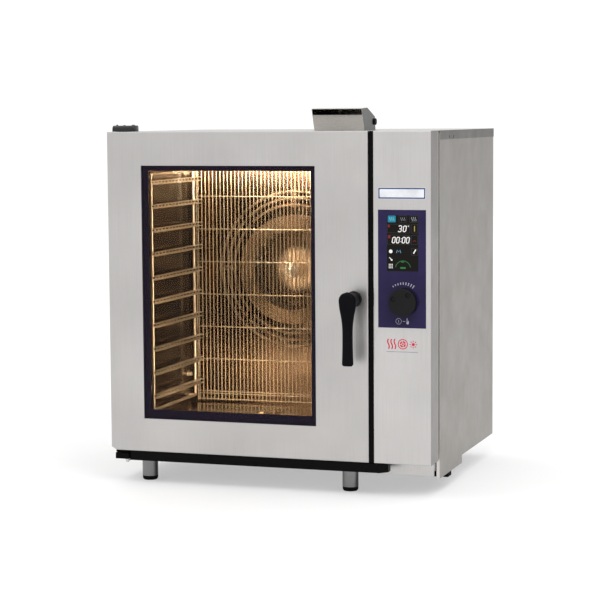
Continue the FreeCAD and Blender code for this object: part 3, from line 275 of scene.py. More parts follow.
metal("fan_steel", (0.80, 0.64, 0.48), 0.34, EVEN_GRAIN, 0.1, 0.3,
      fan_ring_tone=(0.095, 0.066, 0.044))
metal("heater_steel", (0.20, 0.145, 0.105), 0.30, EVEN_GRAIN, 0.1, 0.35)
# On the legs the darker side tone is a painted reflection: the dark edges of a round steel leg.
metal("leg_steel", (0.20, 0.20, 0.20), 0.16, EVEN_GRAIN, 0.05, 0.08, painted_side_shade=(0.04, 0.04, 0.04))
metal("brass", (0.62, 0.46, 0.20), 0.30, EVEN_GRAIN)

plastic("handle_plastic", (0.004, 0.004, 0.005), 0.36, shine=0.03)
plastic("knob_plastic", (0.006, 0.006, 0.006), 0.50, shine=0.15)
plastic("black_paint", (0.002, 0.002, 0.002), 0.30, 400.0, 0.2, shine=0.06)
plastic("cap_plastic", (0.004, 0.004, 0.004), 0.12, shine=0.45)
plastic("rubber", (0.003, 0.003, 0.003), 0.75, 1500.0, 0.5, shine=0.05)
plastic("motor_paint", (0.08, 0.09, 0.11), 0.5)
plastic("circuit", (0.04, 0.10, 0.06), 0.5)
plastic("wool", (0.55, 0.48, 0.28), 0.95, 250.0, 1.0)
plastic("navy_glass", (0.018, 0.013, 0.052), 0.12, 40.0, 0.02, shine=0.12)
plastic("enamel", (0.66, 0.67, 0.70), 0.3, 300.0, 0.1)
clear_glass("pane", (0.70, 0.69, 0.66), 0.10)

print_ink("border_ink", (0.016, 0.010, 0.030), 0.3)
print_ink("mark_ink", (0.34, 0.34, 0.39))
print_ink("red_ink", (0.55, 0.02, 0.05))
print_ink("blue_ink", (0.045, 0.075, 0.19))
print_ink("grey_ink", (0.25, 0.25, 0.30))
print_ink("screen_black", (0.006, 0.005, 0.004), 0.12)
print_ink("slot_shadow", (0.012, 0.009, 0.006), 0.6)

screen_glow("glow_white", (1.0, 0.98, 0.95), 0.95)
screen_glow("glow_soft", (0.5, 0.55, 0.6), 0.6)
screen_glow("glow_pale", (0.30, 0.62, 0.75), 0.8)
screen_glow("glow_grey", (0.14, 0.14, 0.15), 0.5)
screen_glow("glow_cyan", (0.0, 0.28, 0.42), 0.8)
screen_glow("glow_blue", (0.25, 0.55, 0.8), 0.7)
screen_glow("glow_red", (0.45, 0.02, 0.02), 0.5)
screen_glow("glow_yellow", (0.55, 0.45, 0.1), 0.8)
screen_glow("glow_green", (0.02, 0.22, 0.05), 0.9)

PAINTED = {
    "door_steel": ["door_skin", "door_inner_frame"],
    "column_steel": ["column_housing", "plinth_front"],
    "panel_steel": ["side_panel_left", "side_panel_right", "back_panel", "front_frame"],
    "lid_steel": ["top_cover"],
    "hood_steel": ["vent_hood"],
    "cavity_steel": ["cavity_floor", "cavity_ceiling", "drain_strainer"],
    "wall_steel": ["cavity_wall_left", "cavity_wall_right"],
    "rear_steel": ["cavity_wall_rear"],
    "wire_steel": ["rack_left", "rack_right", "latch_spindle", "encoder_shaft", "vent_flap",
                   "panel_screws"],
    "guard_steel": ["fan_guard"],
    "structure_steel": ["base_chassis", "steam_generator", "steam_pipe", "vent_pipe",
                        "latch_striker", "hinge_bracket_top", "glass_holders", "drain_pipe"],
    "fan_steel": ["fan_impeller", "fan_shaft"],
    "heater_steel": ["heating_element"],
    "leg_steel": ["leg_sleeves"],
    "brass": ["water_valves"],
    "handle_plastic": ["handle_lever", "handle_boss", "latch_housing", "encoder_body",
                       "vent_knob", "cable_gland", "cooling_fan_frame", "cooling_fan_rotor"],
    "knob_plastic": ["control_knob"],
    "cap_plastic": ["hinge_cap_top"],
    "black_paint": ["drip_tray", "hinge_bracket_bottom"],
    "rubber": ["door_seal", "foot_front_left", "foot_front_right", "foot_rear_left",
               "foot_rear_right"],
    "motor_paint": ["fan_motor"],
    "circuit": ["display_module", "power_module"],
    "wool": ["insulation"],
    "pane": ["outer_glass", "inner_glass"],
    "navy_glass": ["control_glass"],
}


def paint_nodes():
    for name, nodes in PAINTED.items():
        for node in nodes:
            slots = frame["nodes"][node].data.materials
            slots.clear()
            slots.append(MATERIALS[name])


# ---------------------------------------------------------------- outlines

def rounded_outline(width, height, radius, steps=6):
    """Points of a rectangle with round corners, centred on (0, 0)."""
    points = []
    corners = ((1, 1, 0), (-1, 1, 90), (-1, -1, 180), (1, -1, 270))
    for side_x, side_y, start in corners:
        centre_x = side_x * (width / 2 - radius)
        centre_y = side_y * (height / 2 - radius)
        for step in range(steps + 1):
            angle = math.radians(start + 90 * step / steps)
            points.append((centre_x + radius * math.cos(angle),
                           centre_y + radius * math.sin(angle)))
    return points


def circle_outline(radius, count=48):
    angles = [2 * math.pi * i / count for i in range(count)]
    return [(radius * math.cos(angle), radius * math.sin(angle)) for angle in angles]


def stroke(points, width, slant=0.0):
    """Outline of a line of even width through the points."""
    path = [Vector((u + slant * v, v)) for u, v in points]
    left, right = [], []
    for i, point in enumerate(path):
        before = path[max(0, i - 1)]
        after = path[min(len(path) - 1, i + 1)]
        along = (after - before).normalized()
        across = Vector((-along.y, along.x)) * width / 2
        left.append(tuple(point + across))
        right.append(tuple(point - across))
    return left + right[::-1]


def wave(height, sway, width):
    """A gently curling upright line."""
    points = [(sway * math.sin(2 * math.pi * i / 16), height * (i / 16 - 0.5)) for i in range(17)]
    return stroke(points, width)


def arc(radius, start, end, width, steps=24):
    """A piece of a ring, its angles measured clockwise from the top."""
    angles = [math.radians(start + (end - start) * i / steps) for i in range(steps + 1)]
    return stroke([(radius * math.sin(angle), radius * math.cos(angle)) for angle in angles], width)


def slanted(outline, slant):
    return [(u + slant * v, v) for u, v in outline]


def turned(outline, angle):
    """An outline turned clockwise about (0, 0), in degrees."""
    cosine, sine = math.cos(math.radians(angle)), math.sin(math.radians(angle))
    return [(u * cosine + v * sine, -u * sine + v * cosine) for u, v in outline]


# ---------------------------------------------------------------- mesh tools

def front_put(centre_x, centre_z):
    """Places an outline in an upright plane that faces -Y, round a centre."""
    return lambda u, v, depth: Vector((centre_x + u, depth, centre_z + v))


def upright_put(centre_x, centre_y):
    """Places an outline in a level plane, so that its prism stands upright."""
    return lambda u, v, depth: Vector((centre_x + u, centre_y + v, depth))


def sideways_put(centre_y, centre_z):
    """Places an outline in an upright plane that faces +X or -X, round a centre."""
    return lambda u, v, depth: Vector((depth, centre_y + u, centre_z + v))


def join_rings(mesh, lower, upper):
    count = len(lower)
    for i in range(count):
        following = (i + 1) % count
        mesh.faces.new((lower[i], lower[following], upper[following], upper[i]))


def add_prism(mesh, outline, low, high, put):
    """A prism over an outline; put turns (u, v, depth) into a place."""
    rings = [[mesh.verts.new(put(u, v, depth)) for u, v in outline] for depth in (low, high)]
    mesh.faces.new(rings[0])
    mesh.faces.new(rings[1])
    join_rings(mesh, *rings)


def add_post(mesh, low, high, radius, steps=6):
    """An upright block between two corners, with rounded upright edges."""
    outline = rounded_outline(high[0] - low[0], high[1] - low[1], radius, steps)
    put = upright_put((low[0] + high[0]) / 2, (low[1] + high[1]) / 2)
    add_prism(mesh, outline, low[2], high[2], put)


def add_frame(mesh, outer, inner, low, high, put):
    """A ring-shaped prism between two outlines of the same number of points."""
    rings = [[mesh.verts.new(put(u, v, depth)) for u, v in outline]
             for outline, depth in ((outer, low), (inner, low), (inner, high), (outer, high))]
    for i in range(4):
        join_rings(mesh, rings[i], rings[(i + 1) % 4])


def add_loft(mesh, rings):
    """Join closed rings of points into a skin with capped ends."""
    made = [[mesh.verts.new(point) for point in ring] for ring in rings]
    for lower, upper in zip(made, made[1:]):
        join_rings(mesh, lower, upper)
    mesh.faces.new(made[0])
    mesh.faces.new(made[-1])


def add_lathe(mesh, profile, centre, axis, count=64):
    """Turn (radius, height) points in millimetres round an axis through centre."""
    side = axis.orthogonal().normalized()
    other = axis.cross(side)
    angles = [2 * math.pi * i / count for i in range(count)]
    arms = [side * math.cos(angle) + other * math.sin(angle) for angle in angles]
    add_loft(mesh, [[centre + axis * height + arm * radius for arm in arms]
                    for radius, height in in_mm(profile)])


def piece(name, mesh, material, body, smooth=False):
    """Finish a bmesh as a piece that rides on a CAD body."""
    data = bpy.data.meshes.new(name)
    bmesh.ops.recalc_face_normals(mesh, faces=mesh.faces)
    mesh.to_mesh(data)
    mesh.free()
    data.materials.append(MATERIALS[material])
    if smooth:
        data.shade_smooth()
    obj = bpy.data.objects.new(name, data)
    bpy.context.scene.collection.objects.link(obj)
    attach(obj, body)
    return obj


def soften(obj, width, segments=2):
    """Rounds the real edges of a piece."""
    bevel = obj.modifiers.new("edges", "BEVEL")
    bevel.width = width
    bevel.segments = segments
    bevel.limit_method = "ANGLE"
    bevel.angle_limit = math.radians(30)
    bevel.harden_normals = False
    obj.data.shade_smooth()


# ---------------------------------------------------------------- door

def pane_border():
    """Dark printed border behind the outer pane."""
    left, right, foot, head = 19.5 * MM, 13 * MM, 26 * MM, 14 * MM
    edge_gap, behind, thick = 0.4 * MM, 0.2 * MM, 0.3 * MM
    width, height = PANE_HIGH.x - PANE_LOW.x, PANE_HIGH.z - PANE_LOW.z
    centre_x, centre_z = (PANE_LOW.x + PANE_HIGH.x) / 2, (PANE_LOW.z + PANE_HIGH.z) / 2
    outer = rounded_outline(width - edge_gap, height - edge_gap, 1.5 * MM)
    inner = [(u + (left - right) / 2, v + (foot - head) / 2)
             for u, v in rounded_outline(width - left - right, height - foot - head, 2 * MM)]
    mesh = bmesh.new()
    add_frame(mesh, outer, inner, PANE_HIGH.y - behind - thick, PANE_HIGH.y - behind,
              front_put(centre_x, centre_z))
    piece("pane_border", mesh, "border_ink", "door")


def gap_strip():
    """Black strip, in the rubber material, that fills the slot between the door and the column."""
    front, deep, end_gap = FRONT + 3 * MM, 70 * MM, 0.5 * MM
    low = (DOOR_HIGH.x + 2 * MM, front, COLUMN_LOW.z + end_gap)
    high = (COLUMN_LOW.x - 0.2 * MM, front + deep, COLUMN_HIGH.z - end_gap)
    mesh = bmesh.new()
    add_post(mesh, low, high, 3 * MM, 5)
    piece("gap_strip", mesh, "rubber", "cabinet")


def door_edge():
    """Slanted strip that closes the hollow door along its cut-back hinge side."""
    outline = in_mm([(1.6, -13.5), (1.6, -11.8), (15.4, -1.0), (17.2, -1.0), (17.2, -2.4),
                     (3.2, -13.5)])
    mesh = bmesh.new()
    add_prism(mesh, outline, DOOR_LOW.z + 11 * MM, DOOR_HIGH.z - 2 * MM,
              upright_put(DOOR_LOW.x, DOOR_HIGH.y))
    piece("door_edge_strip", mesh, "door_steel", "door")


def lever_section(height, length):
    """Half width and half depth of the lever at a height over its pivot."""
    head, head_ends = 24 * MM, -4 * MM
    grip, shoulder, flare = 13.2 * MM, 10.2 * MM, 2.3 * MM
    depth, thinning = 13.5 * MM, 1.8 * MM
    along = max(0.0, -height / length)
    if height > head_ends:
        half_width = math.sqrt(max(1e-9, (head + 0.05 * MM) ** 2 - height ** 2))
    else:
        half_width = (grip + shoulder * math.exp(-((along - 0.02) / 0.24) ** 2)
                      + flare * along ** 4)
    swell = min(1.0, math.sqrt(max(0.0, (head - height) / (9 * MM))))
    half_depth = (depth - thinning * min(1.0, along * 1.6)) * swell
    end = min(1.0, math.sqrt(max(0.0, (height + length) / (4 * MM))))
    taper = 0.80 + 0.20 * end
    return max(half_width * taper, 1 * MM), max(half_depth * taper, 0.8 * MM)


def squarish_ring(centre, half_width, half_depth, count=36, power=0.72):
    """Points of a level oval that bulges towards its corners."""
    ring = []
    for i in range(count):
        angle = 2 * math.pi * i / count
        cosine, sine = math.cos(angle), math.sin(angle)
        ring.append(centre + Vector((half_width * math.copysign(abs(cosine) ** power, cosine),
                                     half_depth * math.copysign(abs(sine) ** power, sine), 0)))
    return ring


def lever():
    """Smooth lever: a round head that narrows into the grip and flares a little at its end."""
    low, high = span("handle_lever")
    head, steps = 24 * MM, 44
    pivot = Vector(((low.x + high.x) / 2, low.y + 14 * MM, high.z - head))
    length = pivot.z - low.z
    rings = []
    for step in range(steps + 1):
        height = head - step / steps * (head + length)
        rings.append(squarish_ring(pivot + Vector((0, 0, height)), *lever_section(height, length)))
    mesh = bmesh.new()
    add_loft(mesh, rings)
    neck = [(12, 0), (19.5, 0), (19, 2), (18.6, 20), (19.5, 27), (21.5, 33), (21, 38)]
    add_lathe(mesh, neck, Vector((pivot.x, high.y, pivot.z)), FORWARDS, 48)
    obj = piece("lever_grip", mesh, "handle_plastic", "handle", smooth=True)
    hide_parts("handle_lever")


def boss_collar():
    """Turned collar on the door under the lever."""
    low, high = span("handle_boss")
    centre = Vector(((low.x + high.x) / 2, high.y, (low.z + high.z) / 2))
    profile = [(9, 0), (22, 0), (22, 2), (21.2, 9), (20, 14), (18.5, 15.9), (9, 15.9)]
    mesh = bmesh.new()
    add_lathe(mesh, profile, centre, FORWARDS)
    obj = piece("boss_collar", mesh, "handle_plastic", "door", smooth=True)
    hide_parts("handle_boss")


# ---------------------------------------------------------------- control column

INK = 0.12 * MM
SCREEN_LAYER = 0.1 * MM
SCREEN_CENTRE = (PANEL_LOW.x + 68.2 * MM, PANEL_LOW.z + 227.8 * MM)
SCREEN_SIZE = (87 * MM, 150 * MM)
DIGIT_SLANT = 0.16
DIGIT_HEIGHT = 17.5 * MM


def on_face(name, shapes, rings, material, front, depth):
    """Flat shapes and rings lying on the front, each placed by its own centre."""
    mesh = bmesh.new()
    for outline, centre_x, centre_z in shapes:
        add_prism(mesh, outline, front, front - depth, front_put(centre_x, centre_z))
    for outer, inner, centre_x, centre_z in rings:
        add_frame(mesh, outer, inner, front, front - depth, front_put(centre_x, centre_z))
    piece(name, mesh, material, "cabinet")


def lit(name, material, shapes=(), rings=(), layer=1):
    """A lit element of the screen, in one of the thin layers on the panel."""
    on_face(name, shapes, rings, material, PANEL_LOW.y - layer * SCREEN_LAYER, SCREEN_LAYER)


def at(u, v):
    """A place on the screen, in millimetres from its centre."""
    return SCREEN_CENTRE[0] + u * MM, SCREEN_CENTRE[1] + v * MM


def tile(width, height, radius=2.0):
    return rounded_outline(width * MM, height * MM, radius * MM, 3)


def digit_zero(width):
    """Outer and inner outline of a nought."""
    line = width * 0.24
    ring = rounded_outline(width, DIGIT_HEIGHT, width * 0.42)
    inner = rounded_outline(width - 2 * line, DIGIT_HEIGHT - 2 * line, width * 0.2)
    return slanted(ring, DIGIT_SLANT), slanted(inner, DIGIT_SLANT)


def digit_three(width):
    """Two hooks, one above the other."""
    upper = [(-0.45, 0.36), (-0.2, 0.46), (0.2, 0.46), (0.4, 0.34), (0.4, 0.12), (0.2, 0.0),
             (-0.15, 0.0)]
    lower = [(u, -v) for u, v in upper]
    return [stroke([(u * width, v * DIGIT_HEIGHT) for u, v in hook], width * 0.24, DIGIT_SLANT)
            for hook in (upper, lower)]


def screen_tiles():
    """Frames of the tiles, the chosen tile, and a curling sign in each of the top three."""
    frames = [(22, 18, 1, 65), (23, 18, 31, 65), (63, 24, -11, 39.5), (18, 24, 33, 39.5),
              (63, 25, -11, 9.5), (18, 25, 33, 9.5), (18, 19, 33, -22)]
    line = 0.9
    lit("screen_frames", "glow_grey",
        rings=[(tile(width, height), tile(width - line, height - line, 1.6), *at(u, v))
               for width, height, u, v in frames])
    lit("screen_mode_tile", "glow_cyan", [(tile(22, 18), *at(-30, 65))])
    symbols, chosen = [], []
    for u in (-5, 0, 5):
        symbols.append((wave(9 * MM, 1.2 * MM, 0.9 * MM), *at(u + 1, 65)))
        symbols.append((wave(11 * MM, 1.4 * MM, 1.5 * MM), *at(u + 31, 65)))
        chosen.append((wave(9 * MM, 1.4 * MM, 1.5 * MM), *at(u - 30, 65)))
    lit("screen_symbols", "glow_soft", symbols)
    lit("screen_tile_waves", "glow_pale", chosen, layer=2)


def screen_digits():
    """A temperature over a time."""
    shapes = [(hook, *at(-7, 39)) for hook in digit_three(10 * MM)]
    rings = [(*digit_zero(10 * MM), *at(6, 39)),
             (circle_outline(1.9 * MM, 16), circle_outline(1.0 * MM, 16), *at(16, 46))]
    rings += [(*digit_zero(9.8 * MM), *at(u, 8.5)) for u in (-24.5, -13, 3, 14.5)]
    shapes += [(circle_outline(1.1 * MM, 12), *at(-5.5 + v * DIGIT_SLANT, v)) for v in (4.5, 12.5)]
    lit("screen_digits", "glow_white", shapes, rings)


def screen_icons():
    """Small coloured signs beside and below the digits, and the dial's arc."""
    lit("screen_red", "glow_red", [(tile(5, 7, 1), *at(-38, 46)), (tile(6, 8, 1), *at(-37, 17)),
                                   (arc(4.5 * MM, -70, 70, 1.2 * MM, 10), *at(33, 3))])
    lit("screen_probe", "glow_yellow", [(tile(2.4, 15, 1), *at(33, 39.5))])
    icons = [(circle_outline(5 * MM, 20), *at(-33, -22)),
             (stroke(in_mm([(-3, -5), (0, 0), (3.5, 6)]), 3.2 * MM), *at(33, -22)),
             (stroke(in_mm([(-4, 4), (0, 0), (2, -5)]), 2 * MM), *at(-33, -42)),
             (circle_outline(2.2 * MM, 14), *at(-30, -45))]
    icons += [(tile(2.6, 2.6, 0.5), *at(-37 + 4 * i, -57 - 4.5 * j))
              for i in range(3) for j in range(3)]
    lit("screen_icons", "glow_white", icons)
    zigzag = in_mm([(-6, -4), (-4, 4), (0, -1), (4, 4), (6, -4)])
    lit("screen_wave", "glow_blue", [(stroke(zigzag, 1.6 * MM), *at(-11, -22))])
    lit("screen_dial", "glow_green", [(arc(21 * MM, -80, 80, 1.5 * MM), *at(1, -68)),
                                      (tile(15, 4.5, 1), *at(1, -66)),
                                      (tile(9, 2.5, 1), *at(0, -50))])


def display():
    lit("screen_glass", "screen_black", [(rounded_outline(*SCREEN_SIZE, 2 * MM), *SCREEN_CENTRE)],
        layer=0)
    screen_tiles()
    screen_digits()
    screen_icons()


def panel_marks():
    """Printed scale over the knob and the two symbols under it."""
    centre_x, centre_z = KNOB_CENTRE.x - 2 * MM, KNOB_CENTRE.z
    foot = centre_z - 52 * MM
    scale_radius, ticks = 50, 9
    shapes = []
    for i in range(ticks):
        size = 2.0 + 0.35 * i
        low, high = scale_radius - size, scale_radius + size
        tick = in_mm([(-1.1, low), (1.1, low), (1.5, high), (-1.5, high)])
        shapes.append((turned(tick, -34 + 8.5 * i), centre_x, centre_z))
    for width, height, radius, steps, u, v in ((1.4, 7, 0.6, 3, -13, 0), (7, 1.4, 0.6, 3, 2, 0),
                                               (6.5, 10, 2.5, 4, 12, -2.5),
                                               (2.6, 9, 1.2, 4, 10.5, 4)):
        outline = rounded_outline(width * MM, height * MM, radius * MM, steps)
        shapes.append((outline, centre_x + u * MM, foot + v * MM))
    rings = [(circle_outline(8.2 * MM), circle_outline(7.2 * MM), centre_x - 13 * MM, foot)]
    on_face("panel_print", shapes, rings, "mark_ink", PANEL_LOW.y, INK)


def blank_plate(centre_x, centre_z):
    """An empty enamelled plate with a printed line round it."""
    thick = 1.2 * MM
    mesh = bmesh.new()
    add_prism(mesh, rounded_outline(132 * MM, 31 * MM, 3 * MM), FRONT, FRONT - thick,
              front_put(centre_x, centre_z))
    soften(piece("blank_plate", mesh, "enamel", "cabinet"), 0.4 * MM)
    rings = [(rounded_outline(130 * MM, 29 * MM, 2.4 * MM),
              rounded_outline(123 * MM, 22 * MM, 1.6 * MM), centre_x, centre_z)]
    on_face("blank_plate_line", [], rings, "blue_ink", FRONT - thick, SCREEN_LAYER)


def mode_symbols(centre_x, centre_z):
    """Generic signs for steam, fan and heat, with a thin line under them."""
    fan_x, sun_x = centre_x + 2 * MM, centre_x + 31 * MM
    shapes = [(wave(27 * MM, 2.2 * MM, 3.4 * MM), centre_x + u * MM, centre_z)
              for u in (-38, -29, -20)]
    for start in (0, 90, 180, 270):
        shapes.append((arc(6.5 * MM, start, start + 74, 4.2 * MM, 10), fan_x, centre_z))
    shapes.append((circle_outline(2.4 * MM, 20), fan_x, centre_z))
    for turn in range(8):
        angle = math.radians(45 * turn)
        ray = [(reach * math.cos(angle), reach * math.sin(angle))
               for reach in (6.5 * MM, 10.5 * MM)]
        shapes.append((stroke(ray, 2.2 * MM), sun_x, centre_z))
    shapes.append((circle_outline(4.2 * MM, 24), sun_x, centre_z))
    rings = [(circle_outline(14 * MM), circle_outline(11.6 * MM), fan_x, centre_z)]
    on_face("mode_symbols", shapes, rings, "red_ink", FRONT, INK)
    line = [(rounded_outline(88 * MM, 1.6 * MM, 0.7 * MM, 3), centre_x, centre_z - 21 * MM)]
    on_face("mode_underline", line, [], "grey_ink", FRONT, INK)


def column_marks():
    centre_x = (PANEL_LOW.x + PANEL_HIGH.x) / 2
    blank_plate(centre_x, PANEL_HIGH.z + 44.5 * MM)
    mode_symbols(centre_x, PANEL_LOW.z - 44 * MM)


# ---------------------------------------------------------------- inside the cavity

def fan_nut():
    """Hexagon nut with a washer and a domed end on the fan shaft."""
    face = min(FAN_LOW.y, span("fan_shaft")[0].y)
    centre = Vector((FAN_CENTRE.x, face, FAN_CENTRE.z))
    mesh = bmesh.new()
    add_lathe(mesh, [(8, 0), (22, 0), (22, 2), (8, 2)], centre, FORWARDS, 48)
    add_prism(mesh, circle_outline(14 * MM, 6), face - 2 * MM, face - 12 * MM,
              front_put(centre.x, centre.z))
    add_lathe(mesh, [(8, 12), (8, 15), (6.5, 17.5), (3.5, 19)], centre, FORWARDS, 32)
    soften(piece("fan_nut", mesh, "wire_steel", "fan"), 0.8 * MM)


def spoke_put(angle):
    """Places (reach, y) outlines on a spoke that leaves the fan's axis at an angle."""
    out = Vector((math.cos(angle), 0, math.sin(angle)))
    across = Vector((-math.sin(angle), 0, math.cos(angle)))
    hub = Vector((FAN_CENTRE.x, 0, FAN_CENTRE.z))
    return lambda u, v, depth: hub + out * u + across * depth + Vector((0, v, 0))


def heater_clips():
    """Straps that hold the three heater rings to the rear wall."""
    front, back = span("heating_element")[0].y - 3 * MM, CAVITY_HIGH.y
    inner, outer, thick, half_width = 186 * MM, 246 * MM, 2 * MM, 6 * MM
    outline = [(inner, back), (inner, front), (outer, front), (outer, back),
               (outer - thick, back), (outer - thick, front + thick),
               (inner + thick, front + thick), (inner + thick, back)]
    mesh = bmesh.new()
    for degrees in (45, 135, 225, 315):
        add_prism(mesh, outline, -half_width, half_width, spoke_put(math.radians(degrees)))
    piece("heater_clips", mesh, "rear_steel", "cabinet")


def rack_studs():
    """Low pressed studs on both side walls that the tray racks hang from."""
    profile = [(3, 0), (9, 0), (8.6, 2), (5, 3.4), (5, 9), (6.5, 10), (6.5, 12.5), (3, 13.5)]
    low_row, high_row = CAVITY_LOW.z + 90 * MM, CAVITY_HIGH.z - 60 * MM
    front_row, rear_row = CAVITY_LOW.y + 75 * MM, 100 * MM
    mesh = bmesh.new()
    for height in (low_row, high_row):
        for depth in (front_row, rear_row):
            for side_x, way in ((CAVITY_LOW.x, 1), (CAVITY_HIGH.x, -1)):
                add_lathe(mesh, profile, Vector((side_x, depth, height)), Vector((way, 0, 0)), 24)
    piece("rack_studs", mesh, "wire_steel", "cabinet")


def rail_slot_shadows():
    """Painted shade: dark plates on the web of every tray rail, where its punched slots are."""
    levels, count, web = 10, 14, 13.5 * MM
    slot = rounded_outline(15 * MM, 5 * MM, 2.4 * MM, 3)
    mesh = bmesh.new()
    for rack, way in (("rack_left", 1), ("rack_right", -1)):
        low, high = span(rack)
        face = high.x - web if way > 0 else low.x + web
        first, last = low.z + 45 * MM, high.z - 28 * MM
        for level in range(levels):
            height = first + (last - first) * level / (levels - 1)
            for i in range(count):
                along = low.y + (high.y - low.y) * (i + 0.5) / count
                add_prism(mesh, slot, face, face + way * 0.2 * MM, sideways_put(along, height))
    piece("rail_slot_shadows", mesh, "slot_shadow", "cabinet")


# ---------------------------------------------------------------- small parts outside

def cap_arch(low, high, inset, back_foot):
    """Side view of the hinge cap: up the back, over the round top and down the front."""
    front, back, top = low.y, high.y, high.z - 2.5 * MM
    back_radius, front_radius = 6 * MM, 11 * MM
    points = [(back - inset, back_foot)]
    for centre, radius, start in ((back - back_radius, back_radius, 0),
                                  (front + front_radius, front_radius, 90)):
        for step in range(7):
            angle = math.radians(start + 90 * step / 6)
            reach = radius - inset
            points.append((centre + reach * math.cos(angle),
                           top - radius + reach * math.sin(angle)))
    return points + [(front + inset, low.z)]


def hinge_cover():
    """Moulded cap over the upper hinge: a rounded shell with closed ends and three screw heads."""
    low, high = span("hinge_cap_top")
    wall, arm_gap = 2.5 * MM, 8.5 * MM
    put = sideways_put(0, 0)
    outer = cap_arch(low, high, 0, low.z + arm_gap)
    inner = cap_arch(low, high, wall, low.z + arm_gap)
    mesh = bmesh.new()
    add_prism(mesh, outer + inner[::-1], low.x + wall, high.x - wall, put)
    for start in (low.x, high.x - wall):
        add_prism(mesh, cap_arch(low, high, 0, low.z), start, start + wall, put)
    for along, radius, rise in ((8, 3, 2.4), (30, 3.5, 1.4), (57, 5, 2.0)):
        place = Vector((low.x + along * MM, (low.y + high.y) / 2, high.z - 2.5 * MM))
        add_lathe(mesh, [(radius, -1), (radius, rise * 0.6), (radius * 0.7, rise)], place,
                  Vector((0, 0, 1)), 24)
    obj = piece("hinge_cover", mesh, "cap_plastic", "cabinet")
    soften(obj, 0.8 * MM)
    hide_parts("hinge_cap_top")


def hinge_foot():
    """Black block under the lower hinge bracket, beside the end of the drip tray."""
    tray_end = span("drip_tray")[0].x
    foot, shelf = 67 * MM, 84 * MM
    mesh = bmesh.new()
    add_post(mesh, (tray_end - 42 * MM, FRONT + 7 * MM, foot),
             (tray_end - 1 * MM, FRONT + 44 * MM, shelf), 3 * MM)
    soften(piece("hinge_foot", mesh, "rubber", "cabinet"), 1 * MM)


def edge_shade_and_pad():
    """Painted shade in the groove behind the column and in the slit at the plinth's end, as dark
    rubber blocks, and a pad under the right side.
    """
    side, back = COLUMN_HIGH.x, COLUMN_HIGH.y
    groove_shade = ((side - 6.0 * MM, back + 0.2 * MM, COLUMN_LOW.z + 2 * MM),
            (side - 2.9 * MM, back + 3.8 * MM, COLUMN_HIGH.z - 5 * MM))
    slit_shade = ((side - 16.9 * MM, -251 * MM, 46.5 * MM), (side - 10.1 * MM, -245 * MM, 92 * MM))
    pad = ((side - 16 * MM, -160 * MM, 29 * MM), (side - 1 * MM, -120 * MM, 40.5 * MM))
    mesh = bmesh.new()
    for (low, high), radius in ((groove_shade, 0.6 * MM), (slit_shade, 1 * MM), (pad, 2 * MM)):
        add_post(mesh, low, high, radius, 3)
    piece("edge_shade_and_pad", mesh, "rubber", "cabinet")


def hood_screw():
    """Black hand screw on the right cheek of the exhaust hood."""
    hood_high = span("vent_hood")[1]
    screw_height = 1017 * MM
    centre = Vector((hood_high.x, hood_high.y - 9 * MM, screw_height))
    profile = [(4, 0), (4, 1), (9, 1), (9.4, 1.6), (9.4, 3.6), (8.6, 4.4), (5, 4.8)]
    mesh = bmesh.new()
    add_lathe(mesh, profile, centre, Vector((1, 0, 0)), 40)
    piece("hood_screw", mesh, "knob_plastic", "cabinet")


def hook_shadows():
    """Painted shadow: dark plates in the hook slots of the cover's lips."""
    low, high = span("top_cover")
    height = COLUMN_HIGH.z - 18 * MM
    insert = rounded_outline(9.2 * MM, 7.2 * MM, 1.5 * MM, 3)
    mesh = bmesh.new()
    for side, way in ((high.x, -1), (low.x, 1)):
        for along in (-144 * MM, -100 * MM):
            add_prism(mesh, insert, side + way * 0.5 * MM, side + way * 1.1 * MM,
                      sideways_put(along, height))
    piece("hook_shadows", mesh, "slot_shadow", "cabinet")


# ---------------------------------------------------------------- floor, light and camera

WHITE = (1, 1, 1)
WARM = (1.0, 0.77, 0.55)
WARM_WHITE = (1.0, 0.88, 0.72)
SKY, RIGHT_SKY, CEILING = 1.04, 0.82, 1.35
EYE = Vector((1.7682, -5.3472, 1.0358))
YAW, PITCH, ROLL = -0.3223, -0.095, -0.0066
LENS = 116.3

# name, place, aim, size, watts, colour
LIGHTS = (
    ("soft_right", (0.9, -1.5, 1.9), (0.35, -0.3, 0.9), (0.8, 0.8), 10, WHITE),
    ("lamp_top", (-0.20, -0.06, 0.88), (-0.20, 0.28, 0.90), (0.52, 0.07), 16, WARM_WHITE),
    ("lamp_rear", (-0.14, 0.222, 0.912), (-0.14, 0.282, 0.870), (0.52, 0.02), 22, WARM_WHITE),
    ("lamp_low", (-0.33, -0.14, 0.225), (-0.31, 0.28, 0.225), (0.24, 0.10), 2.4, WARM),
    ("lamp_right", (0.135, -0.24, 0.56), (-0.40, 0.00, 0.56), (0.07, 0.70), 3.0, WARM),
    ("lamp_rack", (-0.24, -0.20, 0.56), (-0.40, -0.06, 0.56), (0.05, 0.72), 5.5, WARM),
)


def stage():
    """A wide, pale, slightly glowing floor."""
    mesh = bmesh.new()
    bmesh.ops.create_grid(mesh, x_segments=28, y_segments=28, size=14.0)
    data = bpy.data.meshes.new("floor")
    mesh.to_mesh(data)
    mesh.free()
    tree, shader = new_material("floor")
    tone = spread(tree, noise(tree, object_place(tree), 3.0, 4.0), 0.99, 1.01)
    tree.links.new(tinted(tree, (0.60, 0.60, 0.60), tone), shader.inputs["Base Color"])
    shader.inputs["Emission Color"].default_value = (1, 1, 1, 1)
    tree.links.new(times(tree, tone, 0.36), shader.inputs["Emission Strength"])
    shader.inputs["Roughness"].default_value = 0.7
    shader.inputs["Specular IOR Level"].default_value = 0.1
    data.materials.append(MATERIALS["floor"])
    floor = bpy.data.objects.new("floor", data)
    bpy.context.scene.collection.objects.link(floor)


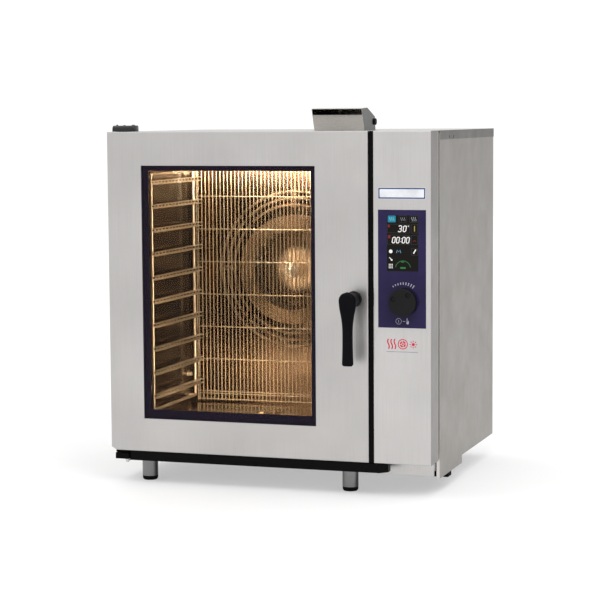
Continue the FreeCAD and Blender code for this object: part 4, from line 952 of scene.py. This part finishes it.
def world():
    """Studio white, darker to the right of the object and brighter overhead."""
    sky = bpy.data.worlds.new("studio")
    sky.use_nodes = True
    tree = sky.node_tree
    direction = add(tree, "ShaderNodeTexCoord").outputs["Generated"]
    axes = add(tree, "ShaderNodeSeparateXYZ", {0: direction})
    sides = stretch(tree, axes.outputs["X"], -0.05, 0.30, SKY, RIGHT_SKY)
    above = stretch(tree, axes.outputs["Z"], 0.45, 0.75, 0.0, 1.0)
    bright = add(tree, "ShaderNodeMix", {0: above, VALUE_A: sides, VALUE_B: CEILING})
    back = tree.nodes["Background"]
    back.inputs["Color"].default_value = (1, 1, 1, 1)
    tree.links.new(bright.outputs[MIXED_VALUE], back.inputs["Strength"])
    bpy.context.scene.world = sky


def lights():
    for name, place, aim, size, watts, colour in LIGHTS:
        data = bpy.data.lights.new(name, "AREA")
        data.shape = "RECTANGLE"
        data.size, data.size_y = size
        data.energy = watts
        data.color = colour
        light = bpy.data.objects.new(name, data)
        light.location = place
        light.rotation_euler = (Vector(aim) - Vector(place)).to_track_quat("-Z", "Y").to_euler()
        light.visible_camera = False
        bpy.context.scene.collection.objects.link(light)


def camera():
    ahead = Vector((math.sin(YAW) * math.cos(PITCH), math.cos(YAW) * math.cos(PITCH),
                    math.sin(PITCH)))
    level = Vector((math.cos(YAW), -math.sin(YAW), 0))
    upright = level.cross(ahead)
    right = level * math.cos(ROLL) + upright * math.sin(ROLL)
    up = upright * math.cos(ROLL) - level * math.sin(ROLL)
    data = bpy.data.cameras.new("camera")
    data.lens = LENS
    data.sensor_width = 36.0
    view = bpy.data.objects.new("camera", data)
    turn = Matrix((right, up, -ahead)).transposed().to_4x4()
    view.matrix_world = Matrix.Translation(EYE) @ turn
    bpy.context.scene.collection.objects.link(view)
    bpy.context.scene.camera = view


paint_nodes()
pane_border()
gap_strip()
door_edge()
lever()
boss_collar()
display()
panel_marks()
column_marks()
fan_nut()
heater_clips()
rack_studs()
rail_slot_shadows()
hinge_cover()
hinge_foot()
edge_shade_and_pad()
hood_screw()
hook_shadows()
stage()
world()
lights()
camera()
bpy.context.scene.view_settings.view_transform = "Standard"
